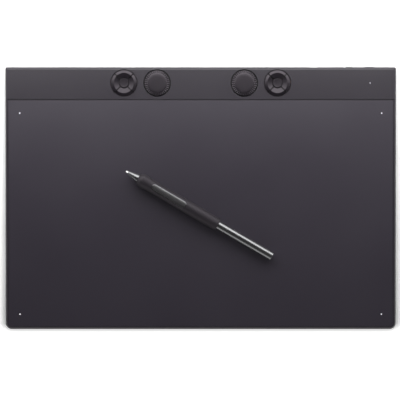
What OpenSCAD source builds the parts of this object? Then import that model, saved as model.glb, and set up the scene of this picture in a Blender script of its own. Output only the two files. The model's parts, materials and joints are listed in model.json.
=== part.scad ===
// Pen drawing tablet: a thin wedge-shaped tablet with two dials and two five-key
// rings on its rear band, and the cordless pen that lies on its drawing surface.
// Millimetres. +X to the right, +Y to the rear, +Z up, feet on z = 0.

/* [Tablet body] */
// Width of the tablet, side to side
body_w = 377; // [350:1:460]
// Depth of the tablet, front edge to rear edge
body_d = 253; // [200:1:320]
// Thickness of the body at its front edge, without the feet
front_t = 4; // [3.6:0.1:6]
// Thickness of the body at its rear edge, without the feet
rear_t = 7; // [6.9:0.1:10]
// Plan radius of the two front corners
front_corner_r = 6; // [3:0.5:12]
// Plan radius of the two rear corners
rear_corner_r = 1.8; // [1.6:0.1:4]
// Width of the whole rim, seen from above
rim_w = 2.65; // [2.2:0.05:3]
// Width of the flat facet between the rim's shoulder and the deck
rim_facet_w = 0.9; // [0.6:0.1:1.2]
// Slope of that facet
rim_facet_slope = 16; // [10:1:25]
// Chamfer round the underside
base_chamfer = 0.8; // [0.3:0.1:0.9]
// Thickness of the side walls
wall_t = 1.4; // [1.2:0.1:1.6]
// Thickness of the deck plate
deck_t = 1.3; // [1.2:0.1:1.5]
// Thickness of the bottom cover
floor_t = 1; // [0.9:0.1:1.4]
// Gap between the bottom cover and the walls round it
cover_gap = 0.12; // [0.05:0.01:0.3]

/* [Drawing surface] */
// Thickness of the textured drawing sheet
sheet_t = 0.4; // [0.3:0.05:0.5]
// Gap round the drawing sheet
sheet_gap = 0.15; // [0.05:0.05:0.3]
// Width of the groove between the control band and the sheet
groove_w = 1; // [0.6:0.1:1.6]
// Depth of that groove
groove_depth = 0.7; // [0.5:0.05:0.8]
// Thickness of the sensing board under the deck
sensor_t = 0.6; // [0.4:0.1:0.8]
// Thickness of the shield behind the sensing board
shield_t = 0.2; // [0.1:0.05:0.3]
// Diameter of the corner lights
corner_light_d = 1.1; // [0.8:0.1:2]
// Corner lights, distance in from each side edge
corner_light_side = 14; // [10:0.5:30]
// Rear corner lights, distance in from the rear edge
corner_light_back = 44.4; // [42:0.5:60]
// Front corner lights, distance in from the front edge
corner_light_front = 14.6; // [12:0.5:30]

/* [Dials] */
// Radius of a dial
dial_r = 12.55; // [10:0.05:16]
// Distance of each dial from the middle of the tablet
dial_x = 42; // [38:0.5:60]
// Height of a dial above the deck
dial_proud = 0.9; // [0.4:0.1:1.5]
// Height of a dial's edge above the deck, at the end of its domed part
dial_edge_h = 0.2; // [-0.1:0.05:0.4]
// Share of a dial's radius that is flat, inside its domed part
dial_flat = 0.5; // [0.3:0.05:0.8]
// Teeth round the edge of a dial
dial_teeth = 36; // [24:1:48]
// Depth of the grooves between them, at the edge
tooth_depth = 0.5; // [0.2:0.05:0.6]
// Share of a dial's radius where those grooves begin
tooth_start = 0.73; // [0.6:0.01:0.9]
// Radius of the dial's spindle
spindle_r = 2; // [1.6:0.1:2.4]
// Gap between the spindle and its bearing
spindle_gap = 0.05; // [0.02:0.01:0.08]

/* [Key rings] */
// Radius of a ring of keys
ring_r = 12.55; // [11:0.05:15.5]
// Distance of each ring from the middle of the tablet
ring_x = 74; // [74:0.5:88]
// Radius of the ridge round the ring
ridge_r = 9.75; // [9:0.1:10.5]
// Height of that ridge above the deck
ridge_h = 0.6; // [0.2:0.1:1.2]
// Rounding of that ridge
ridge_round = 1.2; // [0.6:0.1:1.5]
// Inner radius of the four outer keys
ring_bore_r = 5.3; // [4.8:0.05:5.6]
// Gap between neighbouring keys
key_gap = 0.75; // [0.3:0.05:0.9]
// How far a key goes down
key_travel = 0.5; // [0.3:0.05:0.55]
// Gap between a dial or ring and the hole it sits in
well_gap = 0.7; // [0.15:0.05:0.8]

/* [Rear edge controls] */
// Width of the power slider's knob
slider_w = 6.4; // [5:0.1:8]
// How far the power slider moves
slider_travel = 2; // [1:0.1:3]
// Power slider, distance in from the right side
slider_side = 45.3; // [42:0.1:60]
// How far the slider stands out of the rear edge
slider_proud = 0.7; // [0.3:0.1:1.2]
// Width of the mode button
mode_w = 8.8; // [6:0.1:10]
// Mode button, distance in from the right side
mode_side = 25.8; // [22:0.1:28]
// How far the mode button stands out of the rear edge
mode_proud = 0.5; // [0.3:0.1:0.6]
// How far the mode button goes in
mode_travel = 0.4; // [0.2:0.05:0.45]
// Diameter of the status light
status_light_d = 0.9; // [0.6:0.1:1.6]
// Status light, distance in from the right side
status_light_side = 25.2; // [15:0.1:40]

/* [Boards and battery] */
// Thickness of the circuit boards
board_t = 0.8; // [0.6:0.1:1]
// Height of the posts that carry the main board
post_h = 2.2; // [2:0.1:2.4]
// Thickness of the battery
battery_t = 3.6; // [3:0.1:3.8]
// Height of the rubber feet below the body
foot_h = 0.6; // [0.4:0.1:1.5]
// Length of a rubber foot
foot_l = 30; // [16:1:50]
// Width of a rubber foot
foot_w = 9; // [6:0.5:12]
// Distance of the feet in from the front and rear edges
foot_inset = 17; // [14:1:25]
// Middle of the corner feet, distance in from each side edge
foot_side = 40; // [25:1:60]

/* [Pen] */
// Length of the pen, nib to tail
pen_l = 162.5; // [150:0.5:185]
// Radius of the pen's metal barrel
barrel_r = 4.1; // [3.8:0.05:5]
// Wall of the metal barrel
barrel_wall = 0.5; // [0.4:0.05:0.6]
// Radius of the writing nib
nib_r = 0.95; // [0.8:0.05:1.1]
// How far the nib shows in front of the nose
nib_show = 2.4; // [1.5:0.1:3]
// How far the nib goes in under full pressure
nib_travel = 0.4; // [0.1:0.05:0.5]
// Radius of the nose cone where it meets the grip
nose_r = 3.55; // [3.3:0.05:3.8]
// Front of the rubber grip, from the tip of the nib
grip_front = 13.6; // [12:0.1:16]
// Wall of the grip at its front, over the metal barrel
grip_front_wall = 0.4; // [0.3:0.05:0.8]
// Place of the swelling behind the fingertips, from the tip of the nib
bulge_s = 18.4; // [17:0.1:22]
// Radius of the grip at the swelling
bulge_r = 6.9; // [6.6:0.05:8]
// Radius of the grip at its narrowest
neck_r = 6.05; // [5.9:0.05:6.4]
// Radius of the grip behind the switches
back_r = 6.3; // [6.1:0.05:6.5]
// Radius of the grip at its rear end
grip_end_r = 6; // [5.7:0.05:6.2]
// Rear end of the grip, from the tip of the nib
grip_end = 102.3; // [98:0.1:110]
// Front of the switch plate, from the tip of the nib
plate_front = 28.8; // [27:0.1:32]
// Length of the switch plate
plate_l = 37.6; // [36:0.1:40]
// Width of the switch plate
plate_w = 6.3; // [6:0.1:6.8]
// How far a pen button goes in
pen_button_travel = 0.3; // [0.15:0.05:0.35]

/* [Pen on the tablet] */
// Tip of the nib, from the middle of the tablet, to the right
pen_tip_x = -71.8; // [-90:0.1:-50]
// Tip of the nib, from the middle of the tablet, to the rear
pen_tip_y = 26; // [10:0.1:40]
// Direction of the pen from tip to tail, seen from above
pen_turn = -30.3; // [-40:0.1:-20]
// Roll of the pen, so that its buttons face up and slightly to the rear
pen_roll = -4; // [-15:1:15]

/* [Hidden] */
$fn = 48;
eps = 0.01;
far = 500;
// How far a cutter runs past what it cuts
past = 1;

// Overall frame: the box of the whole tablet, slider included, is centred on the origin
rear_y = (body_d - slider_proud) / 2;
front_y = rear_y - body_d;
base_z = foot_h;
deck_front_z = base_z + front_t;
deck_rear_z = base_z + rear_t;
deck_tilt = atan2(rear_t - front_t, body_d);
half_w = body_w / 2;
inner_half_w = half_w - wall_t;
floor_top = base_z + floor_t;
foot_recess = 0.3;

// Rim: a flat facet, then a shoulder that steepens from the first slope to the second
rim_steps = 6;
shoulder_slopes = [30, 60];
shoulder_r = (rim_w - rim_facet_w) / (sin(shoulder_slopes[1]) - sin(shoulder_slopes[0]));
facet_h = rim_facet_w * tan(rim_facet_slope);
least_corner_r = 0.3;

// Control band, counted from the rear edge along the deck
rim_margin = -0.5;
band_margin = 2.5;
well_r = max(dial_r, ring_r) + well_gap;
control_back = rim_w + rim_margin + well_r;
groove_back = control_back + well_r + band_margin;
sheet_back = groove_back + groove_w;
deck_l = body_d / cos(deck_tilt);
sheet_frame = 0.4;
sheet_side = rim_w + sheet_frame;

// Levels below the deck
stack_gap = 0.05;
sensor_top = deck_t + stack_gap;
shield_top = sensor_top + sensor_t + stack_gap;
encoder_top = 1.65;
encoder_t = 2.2;
encoder_w = 12;
control_board_top = encoder_top + encoder_t;
key_bottom = 1.2;
key_inner_h = -0.45;
key_outer_h = -0.1;
key_skirt = 1;
key_lip_t = 0.4;
key_lip = 1;
key_stem_r = 1.4;
key_stem_root = 0.3;
centre_key_h = -0.35;
centre_key_dish = 0.16;
centre_key_round = 0.3;
switch_w = 4.5;
switch_h = 0.85;
switch_cap_h = 1.15;
switch_cap_r = 1;
key_stem_bottom = control_board_top - switch_cap_h - key_travel - 0.1;
clip_gap = 0.06;
clip_t = 0.4;
clip_play = 0.02;
clip_rim = 1;
clip_mouth = 0.6;
spindle_neck = 0.5;
spindle_board_gap = 0.4;
spindle_end = 0.3;
clip_bottom = control_board_top + board_t + clip_t + clip_gap;
dial_floor = encoder_top - stack_gap;
tooth_groove_r = 0.55;
collar_drop = 1.1;
collar_h = 1.5;
collar_wall = 1;

// Bosses and screws
boss_r = 2.2;
board_boss_r = 1.8;
screw_r = 0.8;
screw_bore_r = 0.85;
screw_head_r = 1.6;
screw_head_h = 0.5;
screw_l = 2.1;
board_screw_l = 2.4;
screw_slot_l = 1.8;
screw_slot_w = 0.4;
screw_slot_depth = 0.3;
head_gap = 0.1;
bore_end_gap = 0.1;
boss_skin = 0.2;
side_boss_in = wall_t + boss_r + 0.2;
boss_row_back = sheet_back + boss_r;
sensor_side_gap = 0.8;
sensor_back = boss_row_back + boss_r + sensor_side_gap;
sensor_in = side_boss_in + boss_r + sensor_side_gap;
board_boss_x = (dial_x + well_r + ring_x - well_r) / 2;
centre_boss_x = (dial_x - well_r) / 2;
board_boss_reach = 9.8;

// Bays left and right of the key rings
bay_gap = 1;
bay_clearance = 6.45;
control_board_half = ring_x + ring_r;
board_margin = 1;
bay_x = control_board_half + key_lip + bay_clearance;
bay_end = inner_half_w - 4 * bay_gap;
main_board_back = 2.6;
main_board_front = groove_back - 2.2;
post_side = 3;
post_back = 8;
battery_back = wall_t + 2.4;
battery_front = groove_back - 3;
antenna_w = 4.5;
antenna_l = 20;
antenna_side = 1.4;
lead_w = 8;
lead_drop = 0.15;
lead_overlap = 1.5;

// Main board and the controls on its rear edge
board_z = floor_top + post_h;
board_top = board_z + board_t;
control_z = board_z + board_t / 2;
socket_x = bay_x + 15;
socket_w = 8.94;
socket_h = 3.16;
socket_wall = 0.3;
socket_l = 7.4;
socket_end_t = 1.2;
socket_in = 0.3;
socket_gap = 0.15;
tongue_w = 6.69;
tongue_t = 0.7;
tongue_l = 5;
slider_x = half_w - slider_side;
slider_h = 3.9;
slider_z = control_z + 0.15;
slide_gap = 0.1;
flange_t = 0.6;
slider_flange = 2.4;
slider_ribs = 3;
rib_groove_r = 0.55;
rib_groove_out = 0.1;
fork_x = 1.3;
fork_t = 1;
fork_l = 1.3;
fork_h = 0.9;
lever_w = 1.4;
lever_l = 2.2;
lever_h = 0.7;
power_switch_back = 2.4;
power_switch_size = [8, 3.4, 1.4];
mode_x = half_w - mode_side;
mode_h = 2.6;
mode_flange = 0.6;
mode_finger = [2, 0.9];
mode_switch_in = wall_t + 2.1;
mode_switch_size = [4.6, 2.3, 1.4];
mode_plunger = [1.4, 0.5, 0.8];
status_x = half_w - status_light_side;
status_pipe_l = 2;
corner_pipe_l = 1;
chip_l = 1;
chip_w = 0.6;
chip_t = 0.3;
flex_w = 16;
flex_t = 0.2;
flex_x = slider_x - 5;
connector_l = 4;
connector_h = 1;
flex_connector_h = deck_height(main_board_front) - sensor_top - sensor_t - board_top + 0.3;
control_flex_w = 10;

// Pen: stations run from the tip of the nib, radii from the pen's axis
pen_gap = 0.05;
neck_s = bulge_s + 10;
back_s = plate_front + plate_l + 6;
grip_steps = 8;
grip_end_round = 0.5;
grip_front_r = barrel_r + grip_front_wall;
barrel_bore = barrel_r - barrel_wall;
barrel_front = grip_front + 0.6;
sleeve_gap = 0.1;
nose_lip = 0.35;
nose_lip_l = 0.4;
nose_lip_rise = 0.2;
nose_end_l = 0.3;
nose_spigot_r = barrel_bore - 0.1;
nose_spigot_end = barrel_front + 4.5;
nib_bore_gap = 0.15;
nib_end = 33.5;
coil_r = barrel_bore - 0.8;
coil_step = 0.5;
coil_step_l = 1.5;
coil_front = nose_spigot_end + 0.5;
coil_end = nib_end - 1.5;
sensor_front = nib_end + nib_travel + 0.1;
sensor_l = 5;
chassis_front = sensor_front + sensor_l + 0.2;
chassis_end = grip_end - 2;
chassis_r = barrel_bore - 0.1;
chassis_wall = 0.5;
pcb_z = 0.25 * barrel_bore;
pcb_t = 0.6;
pcb_w = 2 * sqrt(pow(chassis_r - 0.05, 2) - pow(pcb_z + pcb_t, 2));
plate_r = back_r + 0.05;
plate_edge = 0.75;
button_gap = 0.12;
button_proud = 0.15;
button_bottom = barrel_bore - 0.3;
window_play = 0.2;
pen_switch_w = 2.4;
pen_switch_h = 0.8;
pen_switch_cap_r = 0.6;
cap_l = 3;
cap_rim_l = 0.58;
cap_seam = 0.02;
cap_chamfer = 0.3;
cap_chamfer_r = 0.35;
cap_fit = 0.03;
rest_tilt = atan2(bulge_r - grip_end_r, grip_end - grip_end_round - bulge_s);

// Buttons of the pen, each as [front end, rear end] from the tip of the nib
window_front = plate_front + plate_edge + button_gap;
window_end = plate_front + plate_l - plate_edge - button_gap;
middle_front = plate_front + 16.2;
middle_end = middle_front + 5.2;
pen_buttons = [
    [window_front, middle_front - button_gap],
    [middle_front, middle_end],
    [middle_end + button_gap, window_end]
];

// Height of the deck at a place counted from the rear edge
function deck_height(back) = deck_rear_z - back * sin(deck_tilt);

// Rim as [inset from the edge, height from the deck], edge first
rim_points = concat(
    [for (i = [0:rim_steps])
        let (a = shoulder_slopes[1] + (shoulder_slopes[0] - shoulder_slopes[1]) * i / rim_steps)
        [shoulder_r * (sin(shoulder_slopes[1]) - sin(a)),
            -facet_h - shoulder_r * (cos(shoulder_slopes[0]) - cos(a))]],
    [[rim_w, 0]]
);
rim_end = len(rim_points) - 1;

// Half cosine from a to b, level at both ends
function ease(a, b, u) = a + (b - a) * (1 - cos(180 * u)) / 2;

// Places something on the deck: x to the right, back from the rear edge, z off the deck
module on_deck(x = 0, back = 0) {
    translate([0, rear_y, deck_rear_z])
        rotate([deck_tilt, 0, 0])
            translate([x, -back, 0])
                children();
}

// A box between two levels below the deck
module deck_slab(x0, x1, back0, back1, top, thickness) {
    on_deck()
        translate([x0, -back1, -top - thickness])
            cube([x1 - x0, back1 - back0, thickness]);
}

// A box on the level floor, placed from the rear edge
module level_slab(x0, x1, back0, back1, z, h) {
    translate([x0, rear_y - back1, z])
        cube([x1 - x0, back1 - back0, h]);
}

module rounded_box_2d(w, d, r) {
    hull_w = w - 2 * r;
    hull_d = d - 2 * r;
    square([w, hull_d], center = true);
    square([hull_w, d], center = true);
    for (x = [-1, 1], y = [-1, 1])
        translate([x * hull_w / 2, y * hull_d / 2])
            circle(r = r);
}

// Plan outline of the tablet, drawn in by an inset
module plan(inset) {
    front_r = max(front_corner_r - inset, least_corner_r);
    rear_r = max(rear_corner_r - inset, least_corner_r);
    w = half_w - inset;
    y0 = front_y + inset;
    y1 = rear_y - inset;
    translate([-w, y0 + front_r])
        square([2 * w, y1 - y0 - front_r - rear_r]);
    translate([-w + front_r, y0])
        square([2 * (w - front_r), front_r + eps]);
    translate([-w + rear_r, y1 - rear_r - eps])
        square([2 * (w - rear_r), rear_r + eps]);
    for (x = [-1, 1]) {
        translate([x * (w - front_r), y0 + front_r])
            circle(r = front_r);
        translate([x * (w - rear_r), y1 - rear_r])
            circle(r = rear_r);
    }
}

// Side view of the body, from front to rear
module side_view() {
    rear_rim = [for (p = rim_points) [rear_y - p[0], deck_rear_z + p[1] - p[0] * tan(deck_tilt)]];
    front_rim = [
        for (i = [rim_end:-1:0])
        let (p = rim_points[i])
        [front_y + p[0], deck_front_z + p[1] + p[0] * tan(deck_tilt)]
    ];
    polygon(concat(
        [[front_y + base_chamfer, base_z], [rear_y - base_chamfer, base_z]],
        [[rear_y, base_z + base_chamfer]],
        rear_rim,
        front_rim,
        [[front_y, base_z + base_chamfer]]
    ));
}

// Front view of the deck and its two side rims, level with the deck
module deck_view() {
    right = [for (p = rim_points) [half_w - p[0], p[1]]];
    left = [for (i = [rim_end:-1:0]) [-half_w + rim_points[i][0], rim_points[i][1]]];
    polygon(concat([[half_w, -far / 4]], right, left, [[-half_w, -far / 4]]));
}

// Front view of the underside and its two side chamfers
module base_view() {
    polygon([
        [-half_w + base_chamfer, base_z], [half_w - base_chamfer, base_z],
        [half_w, base_z + base_chamfer], [half_w, far / 4],
        [-half_w, far / 4], [-half_w, base_z + base_chamfer]
    ]);
}

module body_outside() {
    intersection() {
        translate([-far / 2, 0, 0])
            rotate([90, 0, 90])
                linear_extrude(far)
                    side_view();
        on_deck()
            translate([0, far / 4, 0])
                rotate([90, 0, 0])
                    linear_extrude(far)
                        deck_view();
        translate([0, far / 2, 0])
            rotate([90, 0, 0])
                linear_extrude(far)
                    base_view();
        linear_extrude(far / 4)
            plan(0);
    }
}

module body_inside() {
    difference() {
        translate([0, 0, base_z - past])
            linear_extrude(far / 4)
                plan(wall_t);
        on_deck()
            translate([-far / 2, -far * 0.9, -deck_t])
                cube([far, far, far]);
    }
}

case_screw_spots = concat(
    [for (s = [-1, 1], i = [0.15, 0.5, 0.85])
        [s * (half_w - side_boss_in), sensor_back + i * (body_d - sensor_back - sensor_in)]],
    [for (x = [-0.6, 0, 0.6]) [x * half_w, body_d - side_boss_in]],
    [for (s = [-1, 1], x = [0.25, 0.58]) [s * x * half_w, boss_row_back]]
);

board_screw_spots = [
    for (s = [-1, 1], x = [centre_boss_x, board_boss_x], b = [-1, 1])
    [s * x, control_back + b * board_boss_reach]
];

main_post_spots = [
    [bay_x + post_side, main_board_back + post_back],
    [bay_x + post_side, main_board_front - post_side],
    [flex_x + flex_w / 2 + post_back, main_board_front - post_side - past],
    [bay_end - post_side, main_board_back + post_back],
    [bay_end - post_side, main_board_front - post_side]
];

// Large chips on the main board, each as [left edge, rear edge, width, depth]
chip_spots = [[bay_x + 12, 14, 8, 8], [mode_x - 4, 19, 10, 6]];

corner_light_spots = [
    for (s = [-1, 1], b = [corner_light_back, body_d - corner_light_front])
    [s * (half_w - corner_light_side), b]
];

foot_spots = [
    for (x = [-half_w + foot_side, 0, half_w - foot_side], b = [foot_inset, body_d - foot_inset])
    [x, b]
];

module pill(l, w, h) {
    translate([0, 0, -h / 2])
        linear_extrude(h) {
            square([l - w, w], center = true);
            for (s = [-1, 1])
                translate([s * (l - w) / 2, 0])
                    circle(d = w);
        }
}

// A pill-shaped bar that runs in from the rear edge
module rear_pill(x, z, w, h, out, in) {
    translate([x, rear_y + (out - in) / 2, z])
        rotate([90, 0, 0])
            pill(w, h, out + in);
}

module top_case() {
    color([0.16, 0.155, 0.165])
        difference() {
            union() {
                difference() {
                    body_outside();
                    body_inside();
                }
                case_bosses();
                control_bosses();
                dial_collars();
            }
            sheet_recess();
            for (s = [-1, 1]) {
                deck_bore(s * dial_x, control_back, dial_r + well_gap);
                deck_bore(s * ring_x, control_back, ring_r + well_gap);
            }
            deck_bore(status_x, control_back, (status_light_d + eps) / 2);
            for (p = corner_light_spots)
                deck_bore(p[0], p[1], corner_light_d);
            rear_pill(socket_x, control_z, socket_w + 2 * socket_gap, socket_h + 2 * socket_gap,
                past, wall_t + past);
            rear_pill(mode_x, control_z, mode_w + 2 * slide_gap, mode_h + 2 * slide_gap,
                past, wall_t + past / 4);
            slider_slot();
            case_screw_bores();
        }
}

// A round hole through the deck
module deck_bore(x, back, r) {
    on_deck(x, back)
        cylinder(r = r, h = 8, center = true);
}

// The recess for the sheet, with the groove along its rear edge
module sheet_recess() {
    intersection() {
        on_deck()
            translate([-half_w + sheet_side - sheet_gap, -deck_l, -sheet_t])
                cube([body_w - 2 * (sheet_side - sheet_gap), deck_l - sheet_back, sheet_t + past]);
        translate([0, 0, base_z])
            linear_extrude(far / 4)
                plan(sheet_side - sheet_gap);
    }
    on_deck()
        translate([-half_w + rim_w, -sheet_back, -groove_depth])
            cube([body_w - 2 * rim_w, groove_w, groove_depth + past]);
}

module slider_slot() {
    w = slider_w + slider_travel + 2 * slide_gap;
    h = slider_h + 2 * slide_gap;
    translate([slider_x + slider_w / 2 + slide_gap - w, rear_y - wall_t - past / 4, slider_z - h / 2])
        cube([w, wall_t + 2 * past, h]);
}

module case_bosses() {
    difference() {
        intersection() {
            for (p = case_screw_spots)
                translate([p[0], rear_y - p[1], floor_top])
                    cylinder(r = boss_r, h = rear_t);
            body_outside();
        }
        on_deck()
            translate([-far / 2, -far * 0.9, -sheet_t - boss_skin])
                cube([far, far, far]);
    }
}

module case_screw_bores() {
    for (p = case_screw_spots)
        translate([p[0], rear_y - p[1], base_z])
            cylinder(r = screw_bore_r, h = screw_l + screw_head_h + bore_end_gap);
}

// Bosses under the control band, which carry the control board
module control_bosses() {
    for (p = board_screw_spots)
        on_deck(p[0], p[1])
            difference() {
                translate([0, 0, -control_board_top])
                    cylinder(r = board_boss_r, h = control_board_top - deck_t / 2);
                translate([0, 0, -control_board_top - eps])
                    cylinder(r = screw_bore_r, h = board_screw_l - board_t + bore_end_gap);
            }
}

// Collars that close the wells round the dials
module dial_collars() {
    for (s = [-1, 1])
        on_deck(s * dial_x, control_back)
            translate([0, 0, -deck_t - collar_drop])
                cylinder(r = dial_r + well_gap + collar_wall, h = collar_h);
}

module bottom_cover() {
    inset = wall_t + cover_gap;
    color([0.1, 0.1, 0.105])
        difference() {
            union() {
                translate([0, 0, base_z])
                    linear_extrude(floor_t)
                        plan(inset);
                for (p = main_post_spots)
                    translate([p[0], rear_y - p[1], floor_top - eps])
                        cylinder(r = board_boss_r, h = post_h + eps);
            }
            for (p = case_screw_spots)
                translate([p[0], rear_y - p[1], base_z - past]) {
                    cylinder(r = screw_bore_r, h = floor_t + 2 * past);
                    cylinder(r = screw_head_r + head_gap, h = past + screw_head_h);
                }
            for (p = main_post_spots)
                translate([p[0], rear_y - p[1], board_top - board_screw_l - bore_end_gap])
                    cylinder(r = screw_bore_r, h = far / 4);
            for (p = foot_spots)
                translate([p[0], rear_y - p[1], base_z])
                    pill(foot_l + 2 * head_gap, foot_w + 2 * head_gap, 2 * foot_recess);
        }
}

module rubber_feet() {
    color([0.07, 0.07, 0.07])
        for (p = foot_spots)
            translate([p[0], rear_y - p[1], (base_z + foot_recess) / 2])
                pill(foot_l, foot_w, base_z + foot_recess);
}

module case_screws() {
    color([0.2, 0.2, 0.21])
        for (p = case_screw_spots)
            translate([p[0], rear_y - p[1], base_z])
                screw(screw_l + screw_head_h);
}

// A flat-head screw with its head at the origin, pointing up, and a cross recess
module screw(l) {
    difference() {
        union() {
            cylinder(r = screw_head_r, h = screw_head_h);
            cylinder(r = screw_r, h = l);
        }
        for (a = [0, 90])
            rotate(a)
                cube([screw_slot_l, screw_slot_w, 2 * screw_slot_depth], center = true);
    }
}

module board_screws() {
    color([0.6, 0.6, 0.62]) {
        for (p = board_screw_spots)
            on_deck(p[0], p[1])
                translate([0, 0, -control_board_top - board_t - screw_head_h])
                    screw(board_screw_l + screw_head_h);
        for (p = main_post_spots)
            translate([p[0], rear_y - p[1], board_top + screw_head_h])
                mirror([0, 0, 1])
                    screw(board_screw_l + screw_head_h);
    }
}

module drawing_sheet() {
    color([0.2, 0.195, 0.21])
        difference() {
            intersection() {
                deck_slab(-half_w + sheet_side, half_w - sheet_side, sheet_back, deck_l, 0, sheet_t);
                translate([0, 0, base_z])
                    linear_extrude(far / 4)
                        plan(sheet_side);
            }
            for (p = corner_light_spots)
                on_deck(p[0], p[1])
                    cylinder(d = corner_light_d + eps, h = 4, center = true);
        }
}

module sensor_board() {
    color([0.1, 0.3, 0.16])
        deck_slab(-half_w + sensor_in, half_w - sensor_in, sensor_back, deck_l - sensor_in,
            sensor_top, sensor_t);
}

module shield_sheet() {
    color([0.66, 0.67, 0.69])
        deck_slab(-half_w + sensor_in, half_w - sensor_in, sensor_back + 8, deck_l - sensor_in,
            shield_top, shield_t);
}

module sensor_flex() {
    color([0.75, 0.5, 0.15])
        deck_slab(
            flex_x - flex_w / 2, flex_x + flex_w / 2,
            main_board_front - board_margin + stack_gap, sensor_back + 6, sensor_top + sensor_t, flex_t
        );
}

module main_board() {
    color([0.08, 0.28, 0.14])
        difference() {
            union() {
                level_slab(bay_x, bay_end, main_board_back, main_board_front, board_z, board_t);
                level_slab(
                    flex_x - flex_w / 2, flex_x + flex_w / 2,
                    main_board_front - board_margin - connector_l, main_board_front - board_margin,
                    board_top - eps, flex_connector_h
                );
                for (c = chip_spots)
                    level_slab(c[0], c[0] + c[2], c[1], c[1] + c[3], board_top - eps, connector_h);
            }
            level_slab(socket_x - socket_w / 2 - socket_gap, socket_x + socket_w / 2 + socket_gap, 0,
                socket_in + socket_l + socket_gap, board_z - past, board_t + 2 * past);
            for (p = main_post_spots)
                translate([p[0], rear_y - p[1], board_z - past])
                    cylinder(r = screw_bore_r, h = board_t + 2 * past);
        }
}

module control_board() {
    reach = well_r - board_margin;
    color([0.08, 0.28, 0.14])
        difference() {
            deck_slab(-control_board_half, control_board_half, control_back - reach, control_back + reach,
                control_board_top, board_t);
            for (s = [-1, 1])
                on_deck(s * dial_x, control_back)
                    cylinder(r = spindle_r + spindle_board_gap, h = 20, center = true);
            for (p = board_screw_spots)
                on_deck(p[0], p[1])
                    cylinder(r = screw_bore_r, h = 20, center = true);
        }
}

module antenna_board() {
    x = control_board_half + key_lip + antenna_side;
    color([0.08, 0.28, 0.14])
        deck_slab(-x - antenna_w, -x, control_back - antenna_l / 2, control_back + antenna_l / 2,
            deck_t + stack_gap, board_t);
}

module battery() {
    color([0.55, 0.56, 0.6])
        level_slab(-bay_end, -bay_x, battery_back, battery_front, floor_top + stack_gap, battery_t);
}

// Flat lead from the battery to the near end of the control board
module battery_lead() {
    z = deck_height(control_back) - control_board_top + lead_drop;
    color([0.6, 0.12, 0.1])
        level_slab(-bay_x + stack_gap, -control_board_half + lead_overlap,
            control_back - lead_w / 2, control_back + lead_w / 2, z, flex_t);
}

// Flat lead from the control board up to the top of the main board
module control_flex() {
    z0 = deck_height(control_back) - control_board_top + lead_drop;
    z1 = board_top + stack_gap;
    x0 = control_board_half - lead_overlap;
    x1 = bay_x - 4;
    x2 = bay_x - board_margin;
    x3 = bay_x + board_margin;
    color([0.75, 0.5, 0.15])
        translate([0, rear_y - control_back + control_flex_w / 2, 0])
            rotate([90, 0, 0])
                linear_extrude(control_flex_w)
                    polygon([
                        [x0, z0], [x1, z0], [x2, z1], [x3, z1], [x3, z1 + flex_t],
                        [x2 - flex_t, z1 + flex_t], [x1 - flex_t, z0 + flex_t], [x0, z0 + flex_t]
                    ]);
}

// One rotary encoder under each dial, with the bearing for the dial's spindle
module dial_encoders() {
    color([0.3, 0.3, 0.32])
        for (s = [-1, 1])
            on_deck(s * dial_x, control_back)
                difference() {
                    translate([-encoder_w / 2, -encoder_w / 2, -control_board_top])
                        cube([encoder_w, encoder_w, encoder_t]);
                    translate([0, 0, -control_board_top - past])
                        cylinder(r = spindle_r + spindle_gap, h = encoder_t + 2 * past);
                }
}

// Directions of the four outer keys, by name order: right, rear, left, front
key_press_r = (ring_bore_r + ring_r) / 2 - 0.5;

module key_switches() {
    spots = concat([[0, 0]], [for (a = [0:90:270]) key_press_r * [cos(a), sin(a)]]);
    color([0.12, 0.12, 0.13])
        for (s = [-1, 1], p = spots)
            on_deck(s * ring_x + p[0], control_back - p[1])
                translate([0, 0, -control_board_top]) {
                    translate([-switch_w / 2, -switch_w / 2, 0])
                        cube([switch_w, switch_w, switch_h]);
                    cylinder(r = switch_cap_r, h = switch_cap_h);
                }
}

// Height of a dial's dome at a radius
function dome(r) =
    let (flat_r = dial_flat * dial_r, u = max(0, r - flat_r) / (dial_r - flat_r))
    dial_proud - (dial_proud - dial_edge_h) * u * u;

// Dial: a flat face that falls away in a dome to a toothed edge, on a spindle
module dial(x) {
    flat_r = dial_flat * dial_r;
    color([0.15, 0.15, 0.155])
        on_deck(x, control_back)
            difference() {
                union() {
                    rotate_extrude($fn = 96)
                        polygon(concat(
                            [[0, -dial_floor], [dial_r, -dial_floor]],
                            [for (i = [rim_steps:-1:0])
                                let (r = flat_r + (dial_r - flat_r) * i / rim_steps)
                                [r, dome(r)]],
                            [[0, dial_proud]]
                        ));
                    translate([0, 0, -clip_bottom - spindle_end])
                        cylinder(r = spindle_r, h = control_board_top);
                }
                dial_grooves();
                translate([0, 0, -clip_bottom])
                    difference() {
                        cylinder(r = spindle_r + past, h = clip_t);
                        cylinder(r = spindle_r - spindle_neck, h = clip_t);
                    }
            }
}

// Round grooves that run down the dome to its edge and leave the teeth between them
module dial_grooves() {
    start_r = tooth_start * dial_r;
    start_z = dome(start_r);
    run = dial_r - start_r;
    fall = start_z - dial_edge_h + tooth_depth;
    for (i = [0:dial_teeth - 1])
        rotate(360 * i / dial_teeth)
            translate([start_r, 0, start_z])
                rotate([0, 90 + atan2(fall, run), 0])
                    translate([-tooth_groove_r, 0, 0])
                        cylinder(r = tooth_groove_r, h = sqrt(run * run + fall * fall) + past, $fn = 24);
}

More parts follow.
